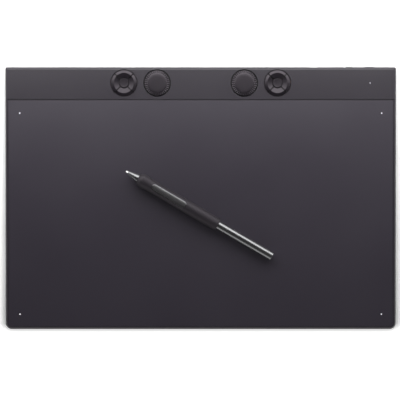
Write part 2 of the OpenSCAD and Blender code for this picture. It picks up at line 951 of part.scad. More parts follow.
// Spring clip in the groove at the lower end of the spindle
module dial_clip(x) {
    color([0.7, 0.7, 0.72])
        on_deck(x, control_back)
            translate([0, 0, -clip_bottom + clip_play])
                difference() {
                    cylinder(r = spindle_r + clip_rim, h = clip_t - 2 * clip_play);
                    translate([0, 0, -past])
                        cylinder(r = spindle_r - spindle_neck + clip_play, h = clip_t + 2 * past);
                    translate([0, -(spindle_r - clip_mouth), -past])
                        cube([spindle_r + clip_rim + past, 2 * (spindle_r - clip_mouth), clip_t + 2 * past]);
                }
}

module left_dial() { dial(-dial_x); }
module right_dial() { dial(dial_x); }
module left_dial_clip() { dial_clip(-dial_x); }
module right_dial_clip() { dial_clip(dial_x); }

// One of the four outer keys of a ring; turn says which way it faces
module ring_key(x, turn) {
    inner_slope = atan2(ridge_h - key_inner_h, ridge_r - ring_bore_r);
    outer_slope = atan2(ridge_h - key_outer_h, ring_r - ridge_r);
    ridge_z = ridge_h - ridge_round / cos(inner_slope);
    lip_z = -deck_t - stack_gap;
    wedge = key_gap / sqrt(2);
    reach = 2 * ring_r;
    color([0.14, 0.14, 0.145])
        on_deck(x, control_back)
            rotate(turn) {
                intersection() {
                    rotate_extrude($fn = 96)
                        polygon(concat(
                            [[ring_bore_r, -key_bottom], [ring_bore_r, key_inner_h]],
                            [for (i = [0:rim_steps])
                                let (a = 90 + inner_slope - (inner_slope + outer_slope) * i / rim_steps)
                                [ridge_r + ridge_round * cos(a), ridge_z + ridge_round * sin(a)]],
                            [[ring_r, key_outer_h], [ring_r, lip_z], [ring_r + key_lip, lip_z],
                                [ring_r + key_lip, lip_z - key_lip_t],
                                [ring_r - key_skirt, lip_z - key_lip_t], [ring_r - key_skirt, -key_bottom]]
                        ));
                    translate([0, 0, -reach / 2])
                        linear_extrude(reach)
                            polygon([[wedge, 0], [reach, reach - wedge], [reach, wedge - reach]]);
                }
                translate([key_press_r, 0, -key_stem_bottom])
                    cylinder(r = key_stem_r, h = key_stem_bottom - key_bottom + key_stem_root);
            }
}

// The round key in the middle of a ring, with a lip that catches under the outer keys
module centre_key(x) {
    r = ring_bore_r - key_gap;
    top = centre_key_h;
    lip_r = ring_bore_r + key_lip_t;
    lip_top = key_bottom + key_travel - 0.1 + key_lip_t / 2;
    lip_bottom = lip_top + key_lip_t / 2 + 0.1;
    color([0.14, 0.14, 0.145])
        on_deck(x, control_back)
            rotate_extrude($fn = 96)
                polygon([
                    [0, -key_stem_bottom], [key_stem_r, -key_stem_bottom], [key_stem_r, -lip_bottom],
                    [lip_r, -lip_bottom], [lip_r, -lip_top], [r, -lip_top],
                    [r, top - centre_key_round], [r - centre_key_round, top],
                    [0.6 * r, top - 0.75 * centre_key_dish], [0, top - centre_key_dish]
                ]);
}

module left_key_rear() { ring_key(-ring_x, 90); }
module left_key_left() { ring_key(-ring_x, 180); }
module left_key_front() { ring_key(-ring_x, 270); }
module left_key_right() { ring_key(-ring_x, 0); }
module left_key_centre() { centre_key(-ring_x); }
module right_key_rear() { ring_key(ring_x, 90); }
module right_key_left() { ring_key(ring_x, 180); }
module right_key_front() { ring_key(ring_x, 270); }
module right_key_right() { ring_key(ring_x, 0); }
module right_key_centre() { centre_key(ring_x); }

// Socket for the charging and data lead: a pressed shell, open to the rear
module data_socket() {
    color([0.7, 0.7, 0.72])
        difference() {
            rear_pill(socket_x, control_z, socket_w, socket_h, -socket_in, socket_in + socket_l);
            rear_pill(socket_x, control_z, socket_w - 2 * socket_wall, socket_h - 2 * socket_wall,
                past, socket_in + socket_l - socket_end_t);
        }
}

module socket_tongue() {
    back = socket_in + socket_l - socket_end_t;
    color([0.08, 0.08, 0.085])
        level_slab(socket_x - tongue_w / 2, socket_x + tongue_w / 2, back - tongue_l, back,
            control_z - tongue_t / 2, tongue_t);
}

// Power slider: ribbed knob outside, flange and fork behind the rear wall
module power_slider() {
    flange_in = wall_t + slide_gap;
    flange_y = rear_y - flange_in - flange_t;
    flange_w = slider_w + 2 * slider_flange;
    pitch = slider_w / slider_ribs;
    color([0.3, 0.3, 0.31]) {
        difference() {
            translate([slider_x - slider_w / 2, rear_y - flange_in - eps, slider_z - slider_h / 2])
                cube([slider_w, flange_in + slider_proud + eps, slider_h]);
            for (i = [0:slider_ribs])
                translate([slider_x + (i - slider_ribs / 2) * pitch, rear_y + slider_proud, slider_z])
                    translate([0, rib_groove_out, 0])
                        cylinder(r = rib_groove_r, h = slider_h + past, center = true);
        }
        translate([slider_x - flange_w / 2, flange_y, slider_z - slider_h / 2 + 0.3])
            cube([flange_w, flange_t, slider_h - 0.9]);
        for (s = [-1, 1])
            translate([slider_x + s * fork_x - fork_t / 2, flange_y - fork_l, board_top + 0.2])
                cube([fork_t, fork_l + eps, fork_h]);
    }
}

power_switch_y = rear_y - wall_t - slide_gap - flange_t - power_switch_back;

module power_switch() {
    size = power_switch_size;
    color([0.6, 0.6, 0.62])
        translate([slider_x - slider_travel / 2 - size[0] / 2, power_switch_y - size[1], board_top])
            cube(size);
}

module power_switch_lever() {
    color([0.1, 0.1, 0.1])
        translate([slider_x - lever_w / 2, power_switch_y + stack_gap, board_top + 0.3])
            cube([lever_w, lever_l, lever_h]);
}

module mode_button() {
    flange_in = wall_t + stack_gap;
    finger_back = mode_switch_in - mode_travel - 0.1;
    color([0.3, 0.3, 0.31]) {
        rear_pill(mode_x, control_z, mode_w, mode_h, mode_proud, flange_in + eps);
        rear_pill(mode_x, control_z, mode_w + 2 * mode_flange, mode_h + 2 * mode_flange,
            -flange_in, flange_in + flange_t);
        translate([mode_x - mode_finger[0] / 2, rear_y - finger_back, board_top + 0.15])
            cube([mode_finger[0], finger_back - flange_in, mode_finger[1]]);
    }
}

module mode_switch() {
    size = mode_switch_size;
    plunger = mode_plunger;
    y = rear_y - mode_switch_in - plunger[1];
    color([0.6, 0.6, 0.62]) {
        translate([mode_x - size[0] / 2, y - size[1], board_top])
            cube(size);
        translate([mode_x - plunger[0] / 2, y - eps, board_top + 0.2])
            cube([plunger[0], plunger[1] + eps, plunger[2]]);
    }
}

module status_light_pipe() {
    color([0.85, 0.85, 0.85])
        on_deck(status_x, control_back)
            translate([0, 0, -status_pipe_l])
                cylinder(d = status_light_d, h = status_pipe_l);
}

module corner_light_pipes() {
    color([0.9, 0.9, 0.9])
        for (p = corner_light_spots)
            on_deck(p[0], p[1])
                translate([0, 0, -corner_pipe_l])
                    cylinder(d = corner_light_d, h = corner_pipe_l);
}

module light_chips() {
    color([0.9, 0.85, 0.6]) {
        for (p = corner_light_spots)
            on_deck(p[0], p[1])
                translate([-chip_l / 2, -chip_w / 2, -sensor_top])
                    cube([chip_l, chip_w, chip_t]);
        translate([status_x - chip_l / 2, rear_y - control_back - chip_w / 2, board_top])
            cube([chip_l, chip_w, chip_t]);
    }
}

// Places a pen piece: its axis runs along +X from the tip of the nib, buttons towards +Z
module on_pen() {
    on_deck(pen_tip_x, body_d / 2 - pen_tip_y)
        rotate(pen_turn)
            translate([0, 0, (bulge_r + pen_gap) / cos(rest_tilt) + bulge_s * tan(rest_tilt)])
                rotate([pen_roll, rest_tilt, 0])
                    children();
}

// A solid of revolution along the pen, from [station, radius] points
module turned(points) {
    rotate([0, 90, 0])
        rotate_extrude($fn = 72)
            polygon([for (p = points) [p[1], p[0]]]);
}

module rod(s0, s1, r) {
    translate([s0, 0, 0])
        rotate([0, 90, 0])
            cylinder(r = r, h = s1 - s0);
}

// An outline on the top of the pen, as a prism with round or nearly square ends
module plate_prism(s0, s1, w, round_r) {
    translate([(s0 + s1) / 2, 0, 0])
        linear_extrude(10)
            rounded_box_2d(s1 - s0, w, round_r);
}

module pen_nib() {
    color([0.95, 0.95, 0.93])
        on_pen()
            turned(concat(
                [[0, 0]],
                [for (i = [1:rim_steps])
                    let (a = 90 * i / rim_steps)
                    [nib_r * (1 - cos(a)), nib_r * sin(a)]],
                [[nib_end, nib_r], [nib_end, 0]]
            ));
}

module pen_nose_cone() {
    color([0.62, 0.62, 0.63])
        on_pen()
            difference() {
                turned([
                    [nib_show, 0], [nib_show, nib_r + nose_lip],
                    [nib_show + nose_lip_l, nib_r + nose_lip + nose_lip_rise],
                    [grip_front - nose_end_l, nose_r], [grip_front, nose_r],
                    [grip_front, nose_spigot_r], [nose_spigot_end, nose_spigot_r], [nose_spigot_end, 0]
                ]);
                rod(nib_show - past, nose_spigot_end + past, nib_r + nib_bore_gap);
            }
}

grip_stations = [
    [bulge_s, bulge_r], [neck_s, neck_r], [back_s, back_r], [grip_end - grip_end_round, grip_end_r]
];

module pen_grip() {
    front = [
        for (i = [0:grip_steps])
        let (u = i / grip_steps)
        [grip_front + (bulge_s - grip_front) * u, grip_front_r + (bulge_r - grip_front_r) * sin(90 * u)]
    ];
    rest = [
        for (k = [0:2], i = [1:grip_steps])
        let (a = grip_stations[k], b = grip_stations[k + 1], u = i / grip_steps)
        [a[0] + (b[0] - a[0]) * u, ease(a[1], b[1], u)]
    ];
    color([0.07, 0.07, 0.07])
        on_pen()
            difference() {
                turned(concat(
                    [[grip_front, 0]], front, rest,
                    [[grip_end, grip_end_r - grip_end_round], [grip_end, 0]]
                ));
                rod(grip_front - past, barrel_front, nose_spigot_r + sleeve_gap);
                rod(barrel_front - eps, grip_end + past, barrel_r + sleeve_gap);
                plate_prism(plate_front - sleeve_gap, plate_front + plate_l + sleeve_gap,
                    plate_w + 2 * sleeve_gap, plate_w / 2 + sleeve_gap - eps);
            }
}

module pen_barrel() {
    color([0.5, 0.5, 0.52])
        on_pen()
            difference() {
                rod(barrel_front + sleeve_gap, pen_l - cap_rim_l - cap_seam, barrel_r);
                rod(barrel_front - past, pen_l + past, barrel_bore);
                plate_prism(window_front - window_play, window_end + window_play,
                    plate_w - 2 * plate_edge - 0.1, plate_w / 2 - plate_edge - 0.06);
            }
}

module pen_end_cap() {
    color([0.5, 0.5, 0.52])
        on_pen()
            turned([
                [pen_l - cap_l, 0], [pen_l - cap_l, barrel_bore - cap_fit],
                [pen_l - cap_rim_l, barrel_bore - cap_fit], [pen_l - cap_rim_l, barrel_r],
                [pen_l - cap_chamfer, barrel_r], [pen_l, barrel_r - cap_chamfer_r], [pen_l, 0]
            ]);
}

// Bright frame round the side buttons, curved with the grip
module pen_switch_plate() {
    color([0.6, 0.6, 0.62])
        on_pen()
            difference() {
                intersection() {
                    plate_prism(plate_front, plate_front + plate_l, plate_w, plate_w / 2 - eps);
                    rod(plate_front - past, plate_front + plate_l + past, plate_r);
                }
                rod(plate_front - 2 * past, plate_front + plate_l + 2 * past, barrel_r + 0.03);
                plate_prism(plate_front + plate_edge, plate_front + plate_l - plate_edge,
                    plate_w - 2 * plate_edge, plate_w / 2 - plate_edge - eps);
            }
}

// One side button, cut from the stadium that fills the plate's window
module pen_button(i) {
    w = plate_w - 2 * plate_edge - 2 * button_gap;
    color([0.45, 0.45, 0.47])
        on_pen()
            intersection() {
                plate_prism(window_front, window_end, w, w / 2 - eps);
                rod(window_front - past, window_end + past, plate_r + button_proud);
                translate([pen_buttons[i][0], -plate_w, button_bottom])
                    cube([pen_buttons[i][1] - pen_buttons[i][0], 2 * plate_w, plate_r]);
            }
}

module pen_button_front() { pen_button(0); }
module pen_button_middle() { pen_button(1); }
module pen_button_rear() { pen_button(2); }

// Lower half of a tube that carries the pen's circuit board
module pen_chassis() {
    color([0.2, 0.2, 0.21])
        on_pen()
            difference() {
                rod(chassis_front, chassis_end, chassis_r);
                rod(chassis_front - past, chassis_end + past, chassis_r - chassis_wall);
                translate([0, -2 * barrel_r, pcb_z])
                    cube([pen_l, 4 * barrel_r, 2 * barrel_r]);
            }
}

module pen_circuit_board() {
    color([0.08, 0.28, 0.14])
        on_pen()
            translate([chassis_front, -pcb_w / 2, pcb_z])
                cube([chassis_end - chassis_front, pcb_w, pcb_t]);
}

// Small push switches on the circuit board, one under each side button
module pen_switches() {
    top = button_bottom - pen_button_travel - 0.05;
    z = pcb_z + pcb_t;
    color([0.7, 0.7, 0.72])
        on_pen()
            for (b = pen_buttons)
                translate([max((b[0] + b[1]) / 2, chassis_front + pen_switch_w / 2), 0, z]) {
                    translate([-pen_switch_w / 2, -pen_switch_w / 2, 0])
                        cube([pen_switch_w, pen_switch_w, min(pen_switch_h, top - z - 0.1)]);
                    cylinder(r = pen_switch_cap_r, h = top - z);
                }
}

module pen_coil() {
    color([0.72, 0.4, 0.15])
        on_pen()
            difference() {
                union() {
                    rod(coil_front, coil_end, coil_r - coil_step);
                    rod(coil_front + coil_step_l, coil_end - coil_step_l, coil_r);
                }
                rod(coil_front - past, coil_end + past, nib_r + nib_bore_gap);
            }
}

module pen_pressure_sensor() {
    color([0.35, 0.35, 0.37])
        on_pen()
            rod(sensor_front, sensor_front + sensor_l, chassis_r - chassis_wall);
}

top_case();
bottom_cover();
drawing_sheet();
sensor_board();
shield_sheet();
main_board();
control_board();
antenna_board();
battery();
battery_lead();
sensor_flex();
control_flex();
dial_encoders();
key_switches();
left_dial();
right_dial();
left_dial_clip();
right_dial_clip();
left_key_rear();
left_key_left();
left_key_front();
left_key_right();
left_key_centre();
right_key_rear();
right_key_left();
right_key_front();
right_key_right();
right_key_centre();
data_socket();
socket_tongue();
power_slider();
power_switch();
power_switch_lever();
mode_button();
mode_switch();
status_light_pipe();
corner_light_pipes();
light_chips();
rubber_feet();
case_screws();
board_screws();
pen_nose_cone();
pen_nib();
pen_grip();
pen_barrel();
pen_end_cap();
pen_switch_plate();
pen_button_front();
pen_button_middle();
pen_button_rear();
pen_chassis();
pen_circuit_board();
pen_coil();
pen_pressure_sensor();
pen_switches();
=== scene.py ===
"""Pen drawing tablet: the looks around the fixed frame.

The tablet is a thin wedge with a textured drawing sheet, two toothed dials and two
rings of five keys on its rear band. A cordless pen lies across the sheet.
Sizes are in millimetres and are turned into metres where a mesh is made.
"""

import json
import math

import bpy
import bmesh
from mathutils import Matrix, Vector


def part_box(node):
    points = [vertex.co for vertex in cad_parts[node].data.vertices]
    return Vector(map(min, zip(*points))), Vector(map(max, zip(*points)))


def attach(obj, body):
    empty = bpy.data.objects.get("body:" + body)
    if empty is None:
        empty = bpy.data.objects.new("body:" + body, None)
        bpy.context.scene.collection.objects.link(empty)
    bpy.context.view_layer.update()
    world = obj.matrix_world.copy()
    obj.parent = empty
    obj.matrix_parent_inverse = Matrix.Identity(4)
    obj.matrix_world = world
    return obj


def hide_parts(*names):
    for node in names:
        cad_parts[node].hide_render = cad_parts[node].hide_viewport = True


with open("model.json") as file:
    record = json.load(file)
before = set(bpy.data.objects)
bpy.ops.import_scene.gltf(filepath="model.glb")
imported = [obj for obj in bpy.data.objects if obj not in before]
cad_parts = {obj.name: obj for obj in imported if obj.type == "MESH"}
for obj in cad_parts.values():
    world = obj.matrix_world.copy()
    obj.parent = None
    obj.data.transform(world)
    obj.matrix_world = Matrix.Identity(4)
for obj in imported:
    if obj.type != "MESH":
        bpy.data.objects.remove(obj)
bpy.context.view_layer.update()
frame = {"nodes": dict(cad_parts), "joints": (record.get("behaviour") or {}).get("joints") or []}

MM = 0.001
NODES = frame["nodes"]
JOINTS = {joint["name"]: joint for joint in frame["joints"]}

# ---------------------------------------------------------------- where things are

case_low, case_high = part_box("top_case")
FRONT_Y = case_low.y / MM
REAR_Y = case_high.y / MM
HALF_W = case_high.x / MM
BASE_Z = case_low.z / MM

dial_joint = JOINTS["right_dial_spin"]
DIAL_X = dial_joint["pos_m"][0] / MM
DECK_TILT = math.atan2(-dial_joint["axis"][1], dial_joint["axis"][2])
CONTROL_Y = dial_joint["pos_m"][1] / MM
CONTROL_Z = dial_joint["pos_m"][2] / MM
RING_X = sum(corner.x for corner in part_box("right_key_centre")) / 2 / MM

# Deck frame: x to the right, y to the rear from the middle of the dials, z off the deck
DECK = Matrix.Translation((0, CONTROL_Y, CONTROL_Z)) @ Matrix.Rotation(DECK_TILT, 4, "X")

# Pen frame: x from the tip of the nib towards the tail, z out through the side buttons
pen_along = Vector(JOINTS["nib_press"]["axis"]).normalized()
pen_up = -Vector(JOINTS["pen_button_front_press"]["axis"]).normalized()
pen_tip = min((vertex.co for vertex in NODES["pen_nib"].data.vertices), key=pen_along.dot) / MM
pen_axes = Matrix((pen_along, pen_up.cross(pen_along), pen_up)).transposed()
PEN = Matrix.Translation(pen_tip) @ pen_axes.to_4x4()


def deck_z(y):
    """Height of the deck at a place in the tablet's own y."""
    return CONTROL_Z + (y - CONTROL_Y) * math.tan(DECK_TILT)


# ---------------------------------------------------------------- sizes, in millimetres
# Heights of dials and keys are counted from the deck, up

FRONT_CORNER_R = 6.0
REAR_CORNER_R = 1.8
RIM_W = 2.65
RIM_FACET_W = 0.9
RIM_FACET_SLOPE = math.radians(16)
RIM_FACET_H = RIM_FACET_W * math.tan(RIM_FACET_SLOPE)
SHOULDER_FROM = math.radians(30)
SHOULDER_TO = math.radians(60)
RIM_STEPS = 8
BASE_ROUND = 0.8
BASE_ROUND_STEPS = 3
LEAST_CORNER_R = 0.3
WALL = 1.4
DECK_T = 1.3
CORNER_STEPS = 14
SHEET_T = 0.4
SHEET_GAP = 0.15
SHEET_MARGIN = 0.4
SHEET_SIDE = RIM_W + SHEET_MARGIN
SHEET_REAR_R = 0.3
RECESS_REAR_R = 0.05
GROOVE_DEPTH = 0.7
CONTROL_BACK = REAR_Y - CONTROL_Y
WELL_R = 13.25
BAND_MARGIN = 2.5
GROOVE_BACK = CONTROL_BACK + WELL_R + BAND_MARGIN
GROOVE_W = 1.0
SOCKET_W = 8.94
SOCKET_H = 3.16
SOCKET_WALL = 0.3
MODE_HOLE_L = 9.0
MODE_HOLE_W = 2.8
MODE_HEIGHT = 3.6
SLIDER_W = 6.4
SLIDER_TRAVEL = 2.0
SLIDER_GAP = 0.1
LIGHT_R = 0.55
STATUS_R = 0.45
LIGHT_GAP = 0.02
LIGHT_DOME_H = 0.12
LIGHT_L = 1.0
DIAL_R = 12.2
DIAL_TOP = 0.9
DIAL_EDGE = 0.2
DIAL_FLAT_R = 6.35
DIAL_TEETH = 36
TOOTH_FROM_R = 9.0
TOOTH_RUN = 1.4
TOOTH_DEPTH = 0.6
DIAL_EDGE_BREAK = 0.15
DIAL_SKIRT_Z = -1.6
SPINDLE_R = 2.0
SPINDLE_Z = -5.3
RING_R = 12.2
RIDGE_R = 9.75
RIDGE_H = 0.6
RIDGE_ROUND = 1.2
KEY_INNER_Z = -0.45
KEY_OUTER_Z = -0.1
KEY_BORE_R = 5.3
KEY_GAP = 0.95
KEY_LIP = 1.0
KEY_FLOOR = 1.2
CENTRE_KEY_Z = -0.35
CENTRE_KEY_ROUND = 0.22
# The dish of the centre key, as (share of its radius, depth)
CENTRE_KEY_DISH = ((0, 0.16), (0.3, 0.15), (0.6, 0.12), (0.85, 0.05))
CENTRE_FLANGE_Z = -1.7
CENTRE_STEM_R = 1.4
CRISP = math.radians(35)
CLEAR = 0.01
CUT_ABOVE = 5.0
WELL_CUT = 8.0
KEY_CUT = 4.0
PEN_CUT = 12.0
CUT_THROUGH = 20.0
FLOOR_REACH = 3000.0

# Camera, in millimetres: width it takes in, height, and place off the middle of the tablet
VIEW_W = 385.9
CAMERA_HEIGHT = 1450.0
CAMERA_OFFSET = (-0.68, -1.66)

# Light, in metres and watts: name: (place, aimed at, size, power)
SOFTBOXES = {
    "rear_softbox": ((0.0, 0.27, 0.22), (0.0, 0.04, 0.0), (1.0, 0.27), 3.6),
    "rear_backdrop": ((0.0, 1.2, 0.18), (0.0, 0.0, 0.0), (3.0, 0.35), 4.0),
    "front_fill": ((0.0, -0.93, 0.375), (0.0, 0.0, 0.0), (2.0, 0.6), 3.6),
    "left_fill": ((-1.0, 0.0, 0.18), (0.0, 0.0, 0.0), (1.4, 0.3), 1.1),
    "right_fill": ((1.0, 0.0, 0.18), (0.0, 0.0, 0.0), (1.4, 0.3), 1.1),
}
ROOM_LIGHT = 0.12
# The pale wall round the room: it fades out between two heights, given as sines of the angle
# up from level, and has this strength below them
WALL_LIGHT = (0.20, 0.34, 0.85)
# The floor's own glow, painted light that is strong in front of the tablet and weakest next to its edges, a
# painted shade round it;
# each as (from, to, strength at the first, strength at the second): along y in front of the tablet, then by
# distance from the tablet's edge, near and far
FRONT_GLOW = (-0.130, -0.122, 0.74, 0.0)
NEAR_GLOW = (0.002, 0.007, 0.0, 0.36)
FAR_GLOW = (0.05, 0.25, 0.0, 0.6)


# ---------------------------------------------------------------- shader groups

COARSE_RATIO = 0.32
WEAR_REACH = 0.35
WEAR_GAIN = 3.0


class Graph:
    """Short way to add nodes and links to one node tree."""

    def __init__(self, tree):
        self.tree = tree

    def add(self, kind, **values):
        node = self.tree.nodes.new(kind)
        for name, value in values.items():
            if hasattr(node, name):
                setattr(node, name, value)
            else:
                node.inputs[name.replace("_", " ")].default_value = value
        return node

    def join(self, source, target):
        self.tree.links.new(source, target)

    def math(self, operation, first, second=0.0, clamp=False):
        node = self.add("ShaderNodeMath", operation=operation, use_clamp=clamp)
        for socket, value in zip(node.inputs, (first, second)):
            if isinstance(value, (int, float)):
                socket.default_value = value
            else:
                self.join(value, socket)
        return node.outputs[0]

    def ramp(self, value, limits):
        """A straight run between two values, level outside them."""
        node = self.add("ShaderNodeMapRange")
        for label, number in zip(("From Min", "From Max", "To Min", "To Max"), limits):
            node.inputs[label].default_value = number
        self.join(value, node.inputs["Value"])
        return node.outputs["Result"]


def group(name, inputs, outputs):
    """A new shader group with float inputs and the named outputs."""
    tree = bpy.data.node_groups.new(name, "ShaderNodeTree")
    for label, default in inputs.items():
        socket = tree.interface.new_socket(label, in_out="INPUT", socket_type="NodeSocketFloat")
        socket.default_value = default
    for label, kind in outputs.items():
        tree.interface.new_socket(label, in_out="OUTPUT", socket_type=kind)
    graph = Graph(tree)
    return tree, graph, graph.add("NodeGroupInput"), graph.add("NodeGroupOutput")


def object_noise(graph, scale, detail):
    """Noise in the piece's own coordinates, which are metres; scale is the output of a node."""
    coordinates = graph.add("ShaderNodeTexCoord").outputs["Object"]
    noise = graph.add("ShaderNodeTexNoise", Detail=detail, Roughness=0.55)
    graph.join(coordinates, noise.inputs["Vector"])
    graph.join(scale, noise.inputs["Scale"])
    return noise.outputs["Fac"]


def build_moulded_grain():
    """Spark-eroded mould texture: a height of fine pits over slightly larger ones."""
    tree, graph, inside, out = group(
        "moulded_grain", {"Grains per m": 2500.0, "Coarse share": 0.4},
        {"Height": "NodeSocketFloat"},
    )
    fine = object_noise(graph, inside.outputs["Grains per m"], 2.0)
    coarse_per_m = graph.math("MULTIPLY", inside.outputs["Grains per m"], COARSE_RATIO)
    coarse = object_noise(graph, coarse_per_m, 1.0)
    share = graph.math("MULTIPLY", coarse, inside.outputs["Coarse share"])
    graph.join(graph.math("ADD", fine, share), out.inputs["Height"])
    return tree


def build_handling():
    """Faint cloudy patches left by hands, as a mask from 0 to 1."""
    tree, graph, inside, out = group(
        "handling_marks", {"Patches per m": 14.0, "Contrast": 1.6},
        {"Mask": "NodeSocketFloat"},
    )
    cloud = object_noise(graph, inside.outputs["Patches per m"], 4.0)
    centred = graph.math("SUBTRACT", cloud, 0.5)
    spread = graph.math("MULTIPLY", centred, inside.outputs["Contrast"])
    graph.join(graph.math("ADD", spread, 0.5, clamp=True), out.inputs["Mask"])
    return tree


def build_edge_wear():
    """Mask of the worn line along sharp edges, broken up so that it is not even."""
    tree, graph, inside, out = group(
        "edge_wear", {"Strength": 1.0, "Breaks per m": 400.0},
        {"Mask": "NodeSocketFloat"},
    )
    rounded = graph.add("ShaderNodeBevel", samples=4)
    rounded.inputs["Radius"].default_value = WEAR_REACH * MM
    plain = graph.add("ShaderNodeNewGeometry")
    meet = graph.add("ShaderNodeVectorMath", operation="DOT_PRODUCT")
    graph.join(rounded.outputs["Normal"], meet.inputs[0])
    graph.join(plain.outputs["Normal"], meet.inputs[1])
    edge = graph.math("SUBTRACT", 1.0, meet.outputs["Value"], clamp=True)
    breaks = object_noise(graph, inside.outputs["Breaks per m"], 3.0)
    worn = graph.math("MULTIPLY", graph.math("MULTIPLY", edge, breaks), inside.outputs["Strength"])
    graph.join(graph.math("MULTIPLY", worn, WEAR_GAIN, clamp=True), out.inputs["Mask"])
    return tree


def build_drawn_lines():
    """Fine lines left by drawing or turning metal, along the piece's own long axis."""
    tree, graph, inside, out = group(
        "drawn_lines", {"Lines per m": 60.0},
        {"Height": "NodeSocketFloat"},
    )
    coordinates = graph.add("ShaderNodeTexCoord").outputs["Object"]
    along = graph.add("ShaderNodeVectorMath", operation="DOT_PRODUCT")
    along.inputs[1].default_value = pen_along
    graph.join(coordinates, along.inputs[0])
    rings = graph.math("MULTIPLY", along.outputs["Value"], inside.outputs["Lines per m"])
    noise = graph.add("ShaderNodeTexNoise", noise_dimensions="1D", Detail=4.0, Roughness=0.7, Scale=160.0)
    graph.join(rings, noise.inputs["W"])
    graph.join(noise.outputs["Fac"], out.inputs["Height"])
    return tree


GROUPS = {
    "grain": build_moulded_grain(),
    "handling": build_handling(),
    "wear": build_edge_wear(),
    "lines": build_drawn_lines(),
}


# ---------------------------------------------------------------- materials

LEAST_ROUGHNESS = 0.02
WORN_GAIN = 2.2
WORN_LIFT = 0.02


def surface(name, colour, roughness, metallic=0.0, grain=None, bump=0.05, mottle=0.06,
            roughness_spread=0.08, wear=0.0, worn_colour=None, lines=None, patches=14.0, **plain):
    """A finished surface: base colour with faint mottling, uneven gloss, fine relief and edge wear.

    grain is grains per metre, bump the relief's depth in millimetres, and lines the
    drawn lines per metre of a metal piece. plain sets sockets that are the same all over.
    """
    material = bpy.data.materials.new(name)
    material.use_nodes = True
    graph = Graph(material.node_tree)
    shader = material.node_tree.nodes["Principled BSDF"]
    shader.inputs["Metallic"].default_value = metallic
    for label, value in plain.items():
        shader.inputs[label.replace("_", " ")].default_value = value

    marks = graph.add("ShaderNodeGroup", node_tree=GROUPS["handling"])
    marks.inputs["Patches per m"].default_value = patches
    tint = graph.add("ShaderNodeMix", data_type="RGBA")
    dark = [channel * (1 - mottle) for channel in colour]
    light = [min(1.0, channel * (1 + mottle)) for channel in colour]
    tint.inputs["A"].default_value = (*dark, 1)
    tint.inputs["B"].default_value = (*light, 1)
    graph.join(marks.outputs["Mask"], tint.inputs["Factor"])
    colour_out = tint.outputs["Result"]

    if wear:
        edges = graph.add("ShaderNodeGroup", node_tree=GROUPS["wear"])
        edges.inputs["Strength"].default_value = wear
        worn = graph.add("ShaderNodeMix", data_type="RGBA")
        rubbed = worn_colour or [min(1.0, WORN_GAIN * channel + WORN_LIFT) for channel in colour]
        worn.inputs["B"].default_value = (*rubbed, 1)
        graph.join(edges.outputs["Mask"], worn.inputs["Factor"])
        graph.join(colour_out, worn.inputs["A"])
        colour_out = worn.outputs["Result"]
    graph.join(colour_out, shader.inputs["Base Color"])

    smoothest = max(LEAST_ROUGHNESS, roughness - roughness_spread)
    roughest = min(1.0, roughness + roughness_spread)
    gloss = graph.ramp(marks.outputs["Mask"], (0.0, 1.0, smoothest, roughest))
    graph.join(gloss, shader.inputs["Roughness"])

    height = None
    if grain:
        pits = graph.add("ShaderNodeGroup", node_tree=GROUPS["grain"])
        pits.inputs["Grains per m"].default_value = grain
        height = pits.outputs["Height"]
    if lines:
        drawn = graph.add("ShaderNodeGroup", node_tree=GROUPS["lines"])
        drawn.inputs["Lines per m"].default_value = lines
        height = drawn.outputs["Height"]
    if height:
        relief = graph.add("ShaderNodeBump", Strength=1.0)
        relief.inputs["Distance"].default_value = bump * MM
        graph.join(height, relief.inputs["Height"])
        graph.join(relief.outputs["Normal"], shader.inputs["Normal"])
    return material


def lit_surface(name, colour, glow):
    """Clear moulding lit from below: its whole face glows."""
    material = surface(name, colour, 0.25, grain=1500, bump=0.01, IOR=1.49)
    shader = material.node_tree.nodes["Principled BSDF"]
    shader.inputs["Emission Color"].default_value = (*colour, 1)
    shader.inputs["Emission Strength"].default_value = glow
    return material


CASE = surface("case_satin_charcoal", (0.016, 0.0125, 0.019), 0.40, grain=2600, bump=0.012, mottle=0.04,
               roughness_spread=0.04, wear=0.10, IOR=1.48)
SHEET = surface("sheet_paper_feel_film", (0.022, 0.0175, 0.0275), 0.42, grain=5200, bump=0.02, mottle=0.035,
                roughness_spread=0.05, patches=9.0, IOR=1.6)
BASE = surface("base_matt_black", (0.028, 0.028, 0.030), 0.62, grain=1900, bump=0.03, mottle=0.10, wear=0.15)
DIAL = surface("dial_satin_black", (0.0055, 0.0042, 0.0065), 0.38, grain=3000, bump=0.008, wear=0.20,
               IOR=1.49, Specular_Tint=(1.0, 0.91, 1.0, 1.0))
KEY = surface("key_satin_black", (0.0050, 0.0038, 0.0060), 0.36, grain=3000, bump=0.008, wear=0.20,
              patches=40.0, IOR=1.47, Specular_Tint=(1.0, 0.91, 1.0, 1.0))
KNOB = surface("knob_grey", (0.17, 0.17, 0.175), 0.45, grain=3000, bump=0.01, wear=0.5)
GRIP = surface("grip_silicone", (0.0095, 0.0080, 0.0105), 0.60, grain=4200, bump=0.012, mottle=0.12,
               patches=60.0, IOR=1.42, Specular_Tint=(1.0, 0.92, 1.0, 1.0))
PEN_METAL = surface("pen_anodised_grey", (0.17, 0.17, 0.174), 0.27, metallic=1.0, lines=60, bump=0.002,
                    mottle=0.05, roughness_spread=0.05, patches=70.0)
PLATE = surface("plate_bright_metal", (0.10, 0.10, 0.104), 0.28, metallic=1.0, lines=60, bump=0.002,
                mottle=0.05, roughness_spread=0.05, patches=90.0)
BUTTON = surface("button_grey_satin", (0.028, 0.027, 0.029), 0.32, grain=5000, bump=0.004, mottle=0.06,
                 patches=120.0, wear=0.2)
NIB = surface("nib_white_acetal", (0.86, 0.86, 0.84), 0.35, grain=6000, bump=0.004, mottle=0.03,
              patches=200.0)
FOOT = surface("foot_rubber", (0.018, 0.018, 0.018), 0.78, grain=1600, bump=0.05, mottle=0.2, patches=80.0)
